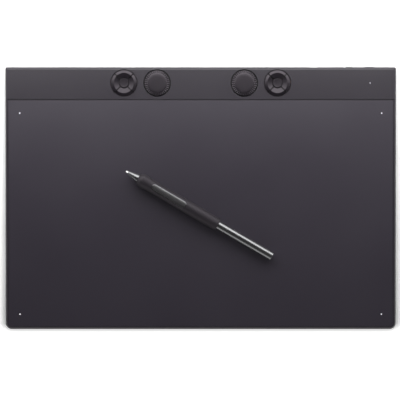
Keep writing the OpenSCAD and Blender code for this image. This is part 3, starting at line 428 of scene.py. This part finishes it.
DARK_BOARD = surface("board_black_mask", (0.010, 0.010, 0.011), 0.40, grain=900, bump=0.02, mottle=0.25,
                     patches=120.0)
BOARD = surface("board_solder_mask", (0.012, 0.085, 0.038), 0.32, grain=900, bump=0.02, mottle=0.25,
                patches=120.0)
COPPER = surface("coil_winding_wire", (0.55, 0.22, 0.08), 0.30, metallic=1.0, lines=900, bump=0.06,
                 patches=200.0)
STEEL = surface("plated_steel", (0.60, 0.60, 0.62), 0.30, metallic=1.0, grain=1500, bump=0.006,
                patches=150.0)
BLACK_STEEL = surface("blackened_steel", (0.05, 0.05, 0.052), 0.38, metallic=1.0, grain=1500, bump=0.01,
                      wear=0.8, worn_colour=(0.3, 0.3, 0.31))
SOCKET = surface("pressed_socket_steel", (0.63, 0.63, 0.65), 0.24, metallic=1.0, grain=1100,
                 bump=0.006, patches=200.0)
POUCH = surface("battery_foil_pouch", (0.42, 0.43, 0.46), 0.38, metallic=0.8, grain=260, bump=0.15,
                patches=60.0)
FOIL = surface("shield_rolled_foil", (0.68, 0.68, 0.70), 0.30, metallic=1.0, grain=420, bump=0.05,
               patches=30.0)
LEAD = surface("lead_red_sleeve", (0.38, 0.03, 0.025), 0.45, grain=1500, bump=0.02, patches=150.0)
FLEX = surface("flex_amber_film", (0.45, 0.20, 0.035), 0.22, grain=700, bump=0.02, mottle=0.15,
               patches=150.0)
SWITCH = surface("switch_black_moulding", (0.035, 0.035, 0.037), 0.5, grain=2500, bump=0.015, patches=150.0)
CARRIER = surface("carrier_grey_moulding", (0.10, 0.10, 0.105), 0.5, grain=2500, bump=0.015, patches=100.0)
CHIP = surface("light_chip_amber", (0.75, 0.62, 0.25), 0.3, grain=3000, bump=0.01, patches=300.0)
CORNER_GLOW = lit_surface("corner_light_white", (0.95, 0.95, 1.0), 0.95)
STATUS_GLOW = lit_surface("status_light_white", (0.9, 0.9, 1.0), 0.32)


# ---------------------------------------------------------------- mesh tools

def millimetre_mesh(name, points, faces, placement=None):
    """A mesh object from points in millimetres, moved by its placement and turned into metres."""
    mesh = bpy.data.meshes.new(name)
    mesh.from_pydata([Vector(point) for point in points], [], faces)
    mesh.transform(placement or Matrix.Identity(4))
    mesh.transform(Matrix.Scale(MM, 4))
    shell = bmesh.new()
    shell.from_mesh(mesh)
    bmesh.ops.recalc_face_normals(shell, faces=shell.faces)
    shell.to_mesh(mesh)
    shell.free()
    obj = bpy.data.objects.new(name, mesh)
    bpy.context.scene.collection.objects.link(obj)
    return obj


def turned(name, profile, placement, turns=96, wave=None):
    """A solid of revolution about the placement's z axis from (radius, height) points.

    A closed profile that never reaches the axis makes a ring. wave(angle, index, radius,
    height) may move a point in or out and up or down round the piece, as for teeth.
    """
    points, rows = [], []
    for index, (radius, height) in enumerate(profile):
        if radius < 1e-6:
            rows.append([len(points)] * turns)
            points.append((0, 0, height))
            continue
        row = []
        for step in range(turns):
            angle = 2 * math.pi * step / turns
            r, z = wave(angle, index, radius, height) if wave else (radius, height)
            row.append(len(points))
            points.append((r * math.cos(angle), r * math.sin(angle), z))
        rows.append(row)
    ring = profile[0][0] > 1e-6 and profile[-1][0] > 1e-6
    pairs = list(zip(rows, rows[1:])) + ([(rows[-1], rows[0])] if ring else [])
    faces = []
    for low, high in pairs:
        for step in range(turns):
            after = (step + 1) % turns
            corners = [low[step], low[after], high[after], high[step]]
            unique = list(dict.fromkeys(corners))
            if len(unique) > 2:
                faces.append(unique)
    return millimetre_mesh(name, points, faces, placement)


def loft(name, rings, placement=None):
    """A closed solid through rings that have the same number of points, capped at both ends."""
    count = len(rings[0])
    last = (len(rings) - 1) * count
    points = [point for ring in rings for point in ring]
    faces = [list(range(count)), [last + i for i in reversed(range(count))]]
    for low in range(0, last, count):
        high = low + count
        faces += [[low + i, low + (i + 1) % count, high + (i + 1) % count, high + i] for i in range(count)]
    return millimetre_mesh(name, points, faces, placement)


def prism(name, outline, low, high, placement=None):
    """A straight prism on a plan outline, between two heights."""
    return loft(name, [[(x, y, z) for x, y in outline] for z in (low, high)], placement)


def deck_prism(name, outline, depth, above):
    """A prism on a plan outline whose floor and top lie parallel to the deck."""
    return loft(name, [[(x, y, deck_z(y) + rise) for x, y in outline] for rise in (-depth, above)])


def arc(cx, cy, r, start, stop, steps):
    """Points on an arc, with its angles in degrees."""
    angles = [math.radians(start + (stop - start) * i / steps) for i in range(steps + 1)]
    return [(cx + r * math.cos(a), cy + r * math.sin(a)) for a in angles]


def circle_outline(x, y, r, sides):
    """A round outline with a given number of sides."""
    return arc(x, y, r, 0, 360 - 360 / sides, sides - 1)


def pill_outline(x, y, length, width, steps=16):
    """A bar with half-round ends, along x."""
    reach = (length - width) / 2
    return arc(x + reach, y, width / 2, -90, 90, steps) + arc(x - reach, y, width / 2, 90, 270, steps)


def plan_outline(inset, rear_y=REAR_Y, rear_r=None):
    """The tablet's plan drawn in by an inset, always with the same number of points."""
    front_r = max(FRONT_CORNER_R - inset, LEAST_CORNER_R)
    back_r = rear_r or max(REAR_CORNER_R - inset, LEAST_CORNER_R)
    x = HALF_W - inset
    y0, y1 = FRONT_Y + inset, rear_y - inset
    steps = CORNER_STEPS
    return (
        arc(x - front_r, y0 + front_r, front_r, -90, 0, steps)
        + arc(x - back_r, y1 - back_r, back_r, 0, 90, steps)
        + arc(-x + back_r, y1 - back_r, back_r, 90, 180, steps)
        + arc(-x + front_r, y0 + front_r, front_r, 180, 270, steps)
    )


def settle(obj, crisp=CRISP):
    """Applies the modifiers into the mesh, shades it smooth and keeps edges over an angle crisp."""
    graph = bpy.context.evaluated_depsgraph_get()
    graph.update()
    mesh = bpy.data.meshes.new_from_object(obj.evaluated_get(graph))
    old = obj.data
    obj.modifiers.clear()
    obj.data = mesh
    mesh.name = obj.name
    bpy.data.meshes.remove(old)
    mesh.shade_smooth()
    mesh.set_sharp_from_angle(angle=crisp)
    return obj


def carve(obj, cutters, operation="DIFFERENCE"):
    """Cuts the cutters out of obj, or keeps only what they share, and removes them."""
    for cutter in cutters:
        step = obj.modifiers.new("carve", "BOOLEAN")
        step.operation = operation
        step.solver = "EXACT"
        step.object = cutter
    settle(obj)
    for cutter in cutters:
        mesh = cutter.data
        bpy.data.objects.remove(cutter)
        bpy.data.meshes.remove(mesh)
    return obj


def soften(obj, width, segments=2, angle=CRISP):
    """Breaks the sharp edges with a small rounded bevel, in millimetres."""
    bevel = obj.modifiers.new("edge_break", "BEVEL")
    bevel.width = width * MM
    bevel.segments = segments
    bevel.limit_method = "ANGLE"
    bevel.angle_limit = angle
    bevel.miter_outer = "MITER_ARC"
    bevel.use_clamp_overlap = True
    bevel.harden_normals = True
    even = obj.modifiers.new("even_shading", "WEIGHTED_NORMAL")
    even.keep_sharp = True
    return obj


def finish_piece(obj, material, body, slot, *nodes):
    """Gives a piece its material, its body and the CAD nodes it stands for, which it hides; slot is not
    used.
    """
    obj.data.materials.clear()
    obj.data.materials.append(material)
    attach(obj, body)
    if nodes:
        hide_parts(*nodes)
    return obj


def dress(node, material, width=0.0):
    """Keeps a CAD node as it is, with a finish and, where asked, broken edges."""
    obj = NODES[node]
    obj.data.materials.clear()
    obj.data.materials.append(material)
    obj.data.shade_smooth()
    obj.data.set_sharp_from_angle(angle=CRISP)
    if width:
        weld = obj.modifiers.new("weld", "WELD")
        weld.merge_threshold = 0.002 * MM
        flat = obj.modifiers.new("flat_faces", "DECIMATE")
        flat.decimate_type = "DISSOLVE"
        flat.angle_limit = math.radians(0.5)
        soften(obj, width)
    return obj


# ---------------------------------------------------------------- the tablet's casing

def rim_levels():
    """The rim, from the deck over a flat facet and a shoulder to the wall, as (inset, depth)."""
    levels = [(RIM_W, 0.0)]
    radius = (RIM_W - RIM_FACET_W) / (math.sin(SHOULDER_TO) - math.sin(SHOULDER_FROM))
    for i in range(RIM_STEPS + 1):
        a = SHOULDER_FROM + (SHOULDER_TO - SHOULDER_FROM) * i / RIM_STEPS
        inset = radius * (math.sin(SHOULDER_TO) - math.sin(a))
        depth = RIM_FACET_H + radius * (math.cos(SHOULDER_FROM) - math.cos(a))
        levels.append((inset, depth))
    return levels


def case_shell():
    """Lofts the casing from the deck over the rim, down the wall, and up inside it."""
    rings = []
    for inset, depth in rim_levels():
        rings.append([(x, y, deck_z(y) - depth) for x, y in plan_outline(inset)])
    for step in range(BASE_ROUND_STEPS + 1):
        a = math.pi / 2 * step / BASE_ROUND_STEPS
        inset = BASE_ROUND * (1 - math.cos(a))
        rise = BASE_ROUND * (1 - math.sin(a))
        rings.append([(x, y, BASE_Z + rise) for x, y in plan_outline(inset)])
    rings.append([(x, y, BASE_Z) for x, y in plan_outline(WALL)])
    rings.append([(x, y, deck_z(y) - DECK_T) for x, y in plan_outline(WALL)])
    return loft("top_casing", rings)


def sheet_outline(side, rear_r):
    """The drawing sheet's plan, from the front up to the groove, at a distance from the casing's sides."""
    return plan_outline(side, rear_y=REAR_Y - GROOVE_BACK - GROOVE_W + SHEET_SIDE, rear_r=rear_r)


def deck_cutters():
    """What is cut from above: wells for dials and keys, the sheet's recess, the groove, light holes."""
    cutters = []
    for x in (-RING_X, -DIAL_X, DIAL_X, RING_X):
        well = circle_outline(0, 0, WELL_R, 96)
        placement = DECK @ Matrix.Translation((x, 0, 0))
        cutters.append(prism("well", well, -WELL_CUT, CUT_ABOVE, placement))
    recess = sheet_outline(SHEET_SIDE - SHEET_GAP, RECESS_REAR_R)
    cutters.append(deck_prism("sheet_recess", recess, SHEET_T, CUT_ABOVE))
    y1 = REAR_Y - GROOVE_BACK
    y0 = y1 - GROOVE_W
    past = HALF_W + 1
    groove = [(-past, y0), (past, y0), (past, y1), (-past, y1)]
    cutters.append(deck_prism("groove", groove, GROOVE_DEPTH, CUT_ABOVE))
    for low, high in light_boxes():
        centre = (low + high) / 2 / MM
        hole = circle_outline(centre.x, centre.y, (high - low).x / MM / 2 + CLEAR, 24)
        cutters.append(prism("light_hole", hole, 0, CUT_THROUGH))
    return cutters


def rear_cutters():
    """What is cut through the rear wall: the socket's hole, the mode button's, the slider's slot."""
    socket_low, socket_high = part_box("data_socket")
    button_low, button_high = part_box("mode_button")
    slider_low, slider_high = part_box("power_slider")
    socket_middle = (socket_low + socket_high) / 2
    mode_middle = Vector(((button_low.x + button_high.x) / 2, 0, (BASE_Z + MODE_HEIGHT) * MM))
    x1 = (slider_low.x + slider_high.x) / 2 / MM + SLIDER_W / 2 + SLIDER_GAP
    x0 = x1 - SLIDER_W - SLIDER_TRAVEL - 2 * SLIDER_GAP
    y0, y1 = REAR_Y - WALL - 0.2, REAR_Y + 1
    slot = [(x0, y0), (x1, y0), (x1, y1), (x0, y1)]
    return [
        rear_prism("socket_hole", socket_middle, SOCKET_W + SOCKET_WALL, SOCKET_H + SOCKET_WALL),
        rear_prism("mode_hole", mode_middle, MODE_HOLE_L, MODE_HOLE_W),
        prism("slider_slot", slot, slider_low.z / MM - SLIDER_GAP, slider_high.z / MM + SLIDER_GAP),
    ]


def make_top_case():
    """The casing with its wells, recess, groove and holes, edges lightly broken."""
    case = case_shell()
    carve(case, deck_cutters() + rear_cutters())
    soften(case, 0.12)
    return finish_piece(case, CASE, "tablet", "case_plastic", "top_case")


def rear_prism(name, centre, length, width):
    """A pill-shaped bar through the rear wall; centre gives its x and z, in metres."""
    outline = pill_outline(0, 0, length, width)
    place = Matrix.Translation((centre.x / MM, REAR_Y, centre.z / MM))
    return prism(name, outline, -2, WALL + 0.6, place @ Matrix.Rotation(math.radians(90), 4, "X"))


def light_boxes():
    """The box of each light, four at the corners of the sheet and one on the band."""
    low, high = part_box("corner_light_pipes")
    r = LIGHT_R * MM
    boxes = []
    for x in (low.x, high.x - 2 * r):
        for y in (low.y, high.y - 2 * r):
            boxes.append((Vector((x, y, 0)), Vector((x + 2 * r, y + 2 * r, 0))))
    boxes.append(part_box("status_light_pipe"))
    return boxes


def make_drawing_sheet():
    """The textured film, dropped into its recess, with holes for the corner lights."""
    outline = sheet_outline(SHEET_SIDE, SHEET_REAR_R)
    sheet = deck_prism("drawing_film", outline, SHEET_T - CLEAR, 0)
    holes = []
    for low, high in light_boxes()[:4]:
        centre = (low + high) / 2 / MM
        hole = circle_outline(centre.x, centre.y, LIGHT_R + CLEAR, 24)
        holes.append(prism("hole", hole, 0, CUT_THROUGH))
    carve(sheet, holes)
    soften(sheet, 0.08)
    return finish_piece(sheet, SHEET, "tablet", "sheet_film", "drawing_sheet")


def make_lights():
    """Small domed ends of the light pipes, glowing white."""
    spots = [(low, high, "corner") for low, high in light_boxes()[:4]]
    spots.append((*light_boxes()[4], "status"))
    for index, (low, high, kind) in enumerate(spots):
        r = LIGHT_R if kind == "corner" else STATUS_R
        x, y = (low.x + high.x) / 2 / MM, (low.y + high.y) / 2 / MM
        side_r = r - LIGHT_GAP
        profile = [(0, -LIGHT_L), (side_r, -LIGHT_L)]
        profile += [(side_r * math.cos(a), LIGHT_DOME_H * (math.sin(a) - 1))
                    for a in map(math.radians, range(0, 90, 15))]
        profile.append((0, 0))
        placement = Matrix.Translation((x, y, deck_z(y) - CLEAR)) @ Matrix.Rotation(DECK_TILT, 4, "X")
        dot = turned(f"{kind}_light_{index + 1}", profile, placement, turns=32)
        settle(dot)
        node = "corner_light_pipes" if kind == "corner" else "status_light_pipe"
        finish_piece(dot, CORNER_GLOW if kind == "corner" else STATUS_GLOW, "tablet", "light_pipe", node)


# ---------------------------------------------------------------- dials and keys

def dial_dome(r):
    """Height of a dial's face at a radius: flat, then falling away in a dome."""
    u = max(0.0, r - DIAL_FLAT_R) / (DIAL_R - DIAL_FLAT_R)
    return DIAL_TOP - (DIAL_TOP - DIAL_EDGE) * u * u


def tooth_drop(r, angle):
    """Depth of the grooves between the teeth, which deepen quickly and run to the edge."""
    u = min(1.0, max(0.0, (r - TOOTH_FROM_R) / TOOTH_RUN))
    depth = TOOTH_DEPTH * u * u * (3 - 2 * u)
    return depth * (0.5 + 0.5 * math.cos(DIAL_TEETH * angle))


def make_dial(side, x):
    """A flat face that falls away in a dome, cut into teeth by grooves that deepen to its edge."""
    face = [(r, dial_dome(r)) for r in (0.0, 3.0, DIAL_FLAT_R, 7.1, 7.8, 8.4, 8.9)]
    steps = 9
    outer_r = DIAL_R - DIAL_EDGE_BREAK
    edge_z = dial_dome(DIAL_R)
    toothed = [TOOTH_FROM_R + (outer_r - TOOTH_FROM_R) * i / steps for i in range(steps + 1)]
    rim = [(DIAL_R - 0.04, edge_z - 0.02), (DIAL_R, edge_z - DIAL_EDGE_BREAK)]
    skirt = [(DIAL_R, DIAL_SKIRT_Z + 0.1), (DIAL_R - 0.3, DIAL_SKIRT_Z), (SPINDLE_R, DIAL_SKIRT_Z)]
    spindle = [(SPINDLE_R, SPINDLE_Z), (0, SPINDLE_Z)]
    profile = face + [(r, dial_dome(r)) for r in toothed] + rim + skirt + spindle
    first, last = len(face), len(face) + len(toothed) + len(rim)

    def teeth(angle, index, radius, height):
        if index < first or index >= last:
            return radius, height
        return radius, height - tooth_drop(radius, angle)

    dial = turned(f"{side}_dial_cap", profile, DECK @ Matrix.Translation((x, 0, 0)),
                  turns=DIAL_TEETH * 12, wave=teeth)
    settle(dial, crisp=math.radians(40))
    return finish_piece(dial, DIAL, f"{side}_dial", "dial_plastic", f"{side}_dial")


def key_ring_profile():
    """Cross-section of the four outer keys: a ridge between two gentle slopes."""
    slope_in = math.atan2(RIDGE_H - KEY_INNER_Z, RIDGE_R - KEY_BORE_R)
    slope_out = math.atan2(RIDGE_H - KEY_OUTER_Z, RING_R - RIDGE_R)
    steps = 10
    ridge = []
    for i in range(steps + 1):
        a = math.radians(90) + slope_in - (slope_in + slope_out) * i / steps
        ridge.append((RIDGE_R + RIDGE_ROUND * math.cos(a),
                      RIDGE_H + RIDGE_ROUND * (math.sin(a) - 1 / math.cos(slope_in))))
    bore = [(KEY_BORE_R, -KEY_FLOOR), (KEY_BORE_R, KEY_INNER_Z)]
    lip_top = -DECK_T - 0.05
    lip_under = lip_top - 0.4
    lip_r = RING_R + KEY_LIP - 0.05
    lip = [(RING_R, KEY_OUTER_Z), (RING_R, lip_top), (lip_r, lip_top), (lip_r, lip_under),
           (RING_R - 1, lip_under), (RING_R - 1, -KEY_FLOOR)]
    return bore + ridge + lip


def make_ring_key(side, x, place, turn):
    """One quarter of the ring, cut along the diagonals, with softened edges."""
    placement = DECK @ Matrix.Translation((x, 0, 0)) @ Matrix.Rotation(math.radians(turn), 4, "Z")
    key = turned(f"{side}_{place}_key_cap", key_ring_profile(), placement, turns=128)
    tip = KEY_GAP / math.sqrt(2)
    reach = CUT_THROUGH
    quarter = [(tip, 0), (reach, reach - tip), (reach, tip - reach)]
    wedge = prism("wedge", quarter, -KEY_CUT, KEY_CUT, placement)
    carve(key, [wedge], "INTERSECT")
    soften(key, 0.16, segments=3)
    return finish_piece(key, KEY, f"{side}_key_{place}", "key_plastic", f"{side}_key_{place}")


def make_centre_key(side, x):
    """The round middle key, slightly dished."""
    r = KEY_BORE_R - KEY_GAP
    top, rim = CENTRE_KEY_Z, CENTRE_KEY_ROUND
    dish = [(share * r, top - depth) for share, depth in CENTRE_KEY_DISH]
    edge = [(r - rim + rim * math.sin(a), top - rim + rim * math.cos(a))
            for a in map(math.radians, range(0, 91, 15))]
    flange_r = KEY_BORE_R - 0.12
    flange_under = CENTRE_FLANGE_Z - 0.2
    stem_end = flange_under - 0.2
    flange = [(r, CENTRE_FLANGE_Z), (flange_r, CENTRE_FLANGE_Z), (flange_r, flange_under)]
    stem = [(CENTRE_STEM_R, flange_under), (CENTRE_STEM_R, stem_end), (0, stem_end)]
    placement = DECK @ Matrix.Translation((x, 0, 0))
    key = turned(f"{side}_centre_key_cap", dish + edge + flange + stem, placement)
    settle(key)
    return finish_piece(key, KEY, f"{side}_key_centre", "key_plastic", f"{side}_key_centre")


# ---------------------------------------------------------------- the pen

GRIP_FRONT, GRIP_FRONT_R = 13.6, 4.5
BULGE_S, BULGE_R = 18.4, 6.88
NECK_S, NECK_R = 28.4, 6.05
BACK_S, BACK_R = 72.4, 6.3
GRIP_END, GRIP_END_R = 102.3, 6.0
BARREL_R = 4.1
PEN_L = 162.5
PLATE_FRONT, PLATE_L, PLATE_W = 28.8, 37.6, 6.3
PLATE_MIDDLE = PLATE_FRONT + PLATE_L / 2
GRIP_ROUND, GRIP_MOUTH_R = 0.6, 3.7
NOSE_FRONT, NOSE_FRONT_R = 2.4, 1.1
CONE_FRONT, CONE_FRONT_R = 2.95, 1.55
CONE_BACK, CONE_BACK_R = 13.2, 3.95
CONE_SWELL = 0.04
NOSE_SPIGOT_R, NOSE_SPIGOT_END = 3.3, 18.0
NIB_R, NIB_L = 0.95, 33.5
TUBE_FRONT, TUBE_WALL = 14.3, 0.5
TAIL_R, TAIL_ROUND = 3.55, 0.32
TAIL_DISH_R = 2.8


def along_pen(profile):
    """Swaps (station, radius) points, counted along the pen, for the turning tool's (radius, height)."""
    return [(radius, station) for station, radius in profile]


PEN_TURN = PEN @ Matrix.Rotation(math.radians(90), 4, "Y")


def ease(a, b, u):
    """Half cosine from a to b, level at both ends."""
    return a + (b - a) * (1 - math.cos(math.pi * u)) / 2


def make_grip():
    """Silicone sleeve: swells behind the fingertips, narrows, then runs back full."""
    profile = [(GRIP_FRONT, GRIP_MOUTH_R), (GRIP_FRONT, GRIP_FRONT_R - 0.25),
               (GRIP_FRONT + 0.08, GRIP_FRONT_R - 0.08)]
    steps = 14
    for i in range(1, steps + 1):
        u = i / steps
        profile.append((GRIP_FRONT + (BULGE_S - GRIP_FRONT) * u,
                        GRIP_FRONT_R + (BULGE_R - GRIP_FRONT_R) * math.sin(math.pi / 2 * u)))
    round_s = GRIP_END - GRIP_ROUND
    stations = [(BULGE_S, BULGE_R), (NECK_S, NECK_R), (BACK_S, BACK_R), (round_s, GRIP_END_R)]
    for (s0, r0), (s1, r1) in zip(stations, stations[1:]):
        profile += [(s0 + (s1 - s0) * i / 20, ease(r0, r1, i / 20)) for i in range(1, 21)]
    profile += [(round_s + GRIP_ROUND * math.sin(a), GRIP_END_R - GRIP_ROUND * (1 - math.cos(a)))
                for a in map(math.radians, range(15, 91, 15))]
    bore_r = BARREL_R + 0.1
    profile += [(GRIP_END, bore_r), (TUBE_FRONT - 0.1, bore_r), (TUBE_FRONT - 0.1, GRIP_MOUTH_R)]
    grip = turned("pen_grip_sleeve", along_pen(profile), PEN_TURN, turns=128)
    pocket_outline = pill_outline(PLATE_MIDDLE, 0, PLATE_L + 0.2, PLATE_W + 0.2, 24)
    pocket = prism("pocket", pocket_outline, 0, PEN_CUT, PEN)
    carve(grip, [pocket])
    soften(grip, 0.1, angle=math.radians(50))
    return finish_piece(grip, GRIP, "pen", "grip_rubber", "pen_grip")


def make_nose():
    """Turned nose cone with a small lip round the nib."""
    profile = [(NOSE_FRONT, NOSE_FRONT_R), (NOSE_FRONT, 1.22), (2.5, 1.34), (2.8, 1.5)]
    steps = 12
    for i in range(steps + 1):
        u = i / steps
        station = CONE_FRONT + (CONE_BACK - CONE_FRONT) * u
        radius = CONE_FRONT_R + (CONE_BACK_R - CONE_FRONT_R) * u + CONE_SWELL * math.sin(math.pi * u)
        profile.append((station, radius))
    shoulder_s = GRIP_FRONT - 0.02
    profile += [(CONE_BACK + 0.25, CONE_BACK_R), (shoulder_s, CONE_BACK_R - 0.13)]
    profile += [(shoulder_s, NOSE_SPIGOT_R), (NOSE_SPIGOT_END, NOSE_SPIGOT_R)]
    profile.append((NOSE_SPIGOT_END, NOSE_FRONT_R))
    nose = turned("pen_nose", along_pen(profile), PEN_TURN, turns=96)
    settle(nose, crisp=math.radians(40))
    return finish_piece(nose, PEN_METAL, "pen", "pen_metal", "pen_nose_cone")


def make_nib():
    """White writing tip with a rounded end."""
    profile = [(0, 0)] + [(NIB_R * (1 - math.cos(a)), NIB_R * math.sin(a))
                          for a in map(math.radians, range(10, 91, 10))]
    profile += [(NIB_L, NIB_R), (NIB_L, 0)]
    nib = turned("pen_nib_tip", along_pen(profile), PEN_TURN, turns=48)
    settle(nib)
    return finish_piece(nib, NIB, "pen_nib", "nib_plastic", "pen_nib")


def make_barrel():
    """Anodised tube that runs from the nose through the grip to the tail."""
    tube_end = PEN_L - 0.66
    tube = [(TUBE_FRONT, BARREL_R), (tube_end - 0.09, BARREL_R), (tube_end, BARREL_R - 0.09),
            (tube_end, BARREL_R - TUBE_WALL), (TUBE_FRONT, BARREL_R - TUBE_WALL)]
    barrel = turned("pen_barrel_tube", along_pen(tube), PEN_TURN, turns=96)
    window_outline = pill_outline(PLATE_MIDDLE, 0, PLATE_L - 1.6, PLATE_W - 1.6, 20)
    carve(barrel, [prism("window", window_outline, 0, PEN_CUT, PEN)])
    finish_piece(barrel, PEN_METAL, "pen", "pen_metal", "pen_barrel")


def make_tail():
    """The cap that closes the barrel, with a rounded rim and a shallow dish."""
    cap = [(PEN_L - 3, 0), (PEN_L - 3, TAIL_R), (PEN_L - 0.58, TAIL_R), (PEN_L - 0.58, BARREL_R - 0.06),
           (PEN_L - 0.52, BARREL_R)]
    cap += [(PEN_L - TAIL_ROUND * (1 - math.sin(a)), BARREL_R - TAIL_ROUND * (1 - math.cos(a)))
            for a in map(math.radians, range(0, 91, 15))]
    cap += [(PEN_L, TAIL_DISH_R + 0.1), (PEN_L - 0.05, TAIL_DISH_R), (PEN_L - 0.05, 0)]
    tail = turned("pen_tail_cap", along_pen(cap), PEN_TURN, turns=96)
    settle(tail)
    finish_piece(tail, PEN_METAL, "pen", "pen_metal", "pen_end_cap")


# ---------------------------------------------------------------- everything together

def dress_cad_nodes():
    """Finishes for the CAD nodes whose shape is already right."""
    finishes = {
        "bottom_cover": (BASE, 0.15), "sensor_board": (BOARD, 0), "shield_sheet": (FOIL, 0),
        "main_board": (BOARD, 0), "control_board": (DARK_BOARD, 0), "antenna_board": (BOARD, 0),
        "battery": (POUCH, 0.4), "battery_lead": (LEAD, 0),
        "sensor_flex": (FLEX, 0), "control_flex": (FLEX, 0),
        "dial_encoders": (SWITCH, 0.1), "key_switches": (SWITCH, 0.08), "left_dial_clip": (STEEL, 0),
        "right_dial_clip": (STEEL, 0), "data_socket": (SOCKET, 0.06), "socket_tongue": (SWITCH, 0.05),
        "power_slider": (KNOB, 0.12), "power_switch": (STEEL, 0.1), "power_switch_lever": (SWITCH, 0.08),
        "mode_button": (KNOB, 0.2), "mode_switch": (STEEL, 0.1), "light_chips": (CHIP, 0),
        "rubber_feet": (FOOT, 0.15), "case_screws": (BLACK_STEEL, 0.06), "board_screws": (STEEL, 0.06),
        "pen_switch_plate": (PLATE, 0.12), "pen_button_front": (BUTTON, 0.15),
        "pen_button_middle": (BUTTON, 0.15),
        "pen_button_rear": (BUTTON, 0.15), "pen_chassis": (CARRIER, 0), "pen_circuit_board": (BOARD, 0),
        "pen_coil": (COPPER, 0), "pen_pressure_sensor": (CARRIER, 0), "pen_switches": (STEEL, 0),
    }
    for node, (material, width) in finishes.items():
        dress(node, material, width)


def make_floor():
    """A white floor, with a glow of its own in front of the tablet and round it: painted light, weakest next
    to the tablet's edges, which paints shade round it.
    """
    corners = [(FLOOR_REACH * x, FLOOR_REACH * y, 0) for x, y in ((-1, -1), (1, -1), (1, 1), (-1, 1))]
    floor = millimetre_mesh("floor", corners, [[0, 1, 2, 3]])
    paper = bpy.data.materials.new("floor_white")
    paper.use_nodes = True
    shader = paper.node_tree.nodes["Principled BSDF"]
    shader.inputs["Base Color"].default_value = (0.9, 0.9, 0.9, 1)
    shader.inputs["Roughness"].default_value = 0.9
    shader.inputs["Emission Strength"].default_value = 1.0
    graph = Graph(paper.node_tree)
    place = graph.add("ShaderNodeSeparateXYZ")
    graph.join(graph.add("ShaderNodeTexCoord").outputs["Object"], place.inputs["Vector"])
    middle_y = (FRONT_Y + REAR_Y) / 2 * MM
    from_side = graph.math("SUBTRACT", graph.math("ABSOLUTE", place.outputs["X"]), HALF_W * MM)
    along = graph.math("ABSOLUTE", graph.math("SUBTRACT", place.outputs["Y"], middle_y))
    from_end = graph.math("SUBTRACT", along, (REAR_Y - FRONT_Y) / 2 * MM)
    distance = graph.math("MAXIMUM", from_side, from_end)
    # Painted light: the glow is strong in front of the tablet and weakest next to its edges, a painted shade
    # round it
    glow = graph.ramp(place.outputs["Y"], FRONT_GLOW)
    glow = graph.math("ADD", glow, graph.ramp(distance, NEAR_GLOW))
    glow = graph.math("ADD", glow, graph.ramp(distance, FAR_GLOW))
    graph.join(glow, shader.inputs["Emission Color"])
    floor.data.materials.append(paper)


def make_room():
    """A dim room with a pale wall low round it."""
    world = bpy.data.worlds.new("studio")
    world.use_nodes = True
    sky = Graph(world.node_tree)
    height = sky.add("ShaderNodeSeparateXYZ")
    sky.join(sky.add("ShaderNodeTexCoord").outputs["Generated"], height.inputs["Vector"])
    backdrop = world.node_tree.nodes["Background"]
    backdrop.inputs["Color"].default_value = (1, 1, 1, 1)
    sky.join(sky.ramp(height.outputs["Z"], WALL_LIGHT + (ROOM_LIGHT,)), backdrop.inputs["Strength"])
    bpy.context.scene.world = world


def make_softboxes():
    """Large soft lamps behind the tablet, in front of it and at its sides."""
    for name, (place, target, size, power) in SOFTBOXES.items():
        lamp = bpy.data.lights.new(name, "AREA")
        lamp.shape = "RECTANGLE"
        lamp.size, lamp.size_y = size
        lamp.energy = power
        obj = bpy.data.objects.new(name, lamp)
        obj.location = place
        obj.rotation_euler = (Vector(target) - Vector(place)).to_track_quat("-Z", "Y").to_euler()
        obj.visible_camera = False
        bpy.context.scene.collection.objects.link(obj)


def make_camera():
    """Straight down, from far enough away that the tablet shows almost in plan."""
    camera = bpy.data.cameras.new("camera")
    camera.sensor_width = 36.0
    camera.lens = camera.sensor_width * CAMERA_HEIGHT / VIEW_W
    camera.clip_start, camera.clip_end = 0.05, 20.0
    obj = bpy.data.objects.new("camera", camera)
    plan_y = (FRONT_Y + REAR_Y) / 2
    x, y = CAMERA_OFFSET
    obj.location = Vector((x, plan_y + y, CAMERA_HEIGHT + deck_z(plan_y))) * MM
    bpy.context.scene.collection.objects.link(obj)
    bpy.context.scene.camera = obj
    bpy.context.scene.view_settings.view_transform = "Standard"


make_top_case()
make_drawing_sheet()
make_lights()
for side, sign in (("left", -1), ("right", 1)):
    make_dial(side, sign * DIAL_X)
    for place, turn in (("rear", 90), ("left", 180), ("front", 270), ("right", 0)):
        make_ring_key(side, sign * RING_X, place, turn)
    make_centre_key(side, sign * RING_X)
make_grip()
make_nose()
make_nib()
make_barrel()
make_tail()
dress_cad_nodes()
make_floor()
make_room()
make_softboxes()
make_camera()
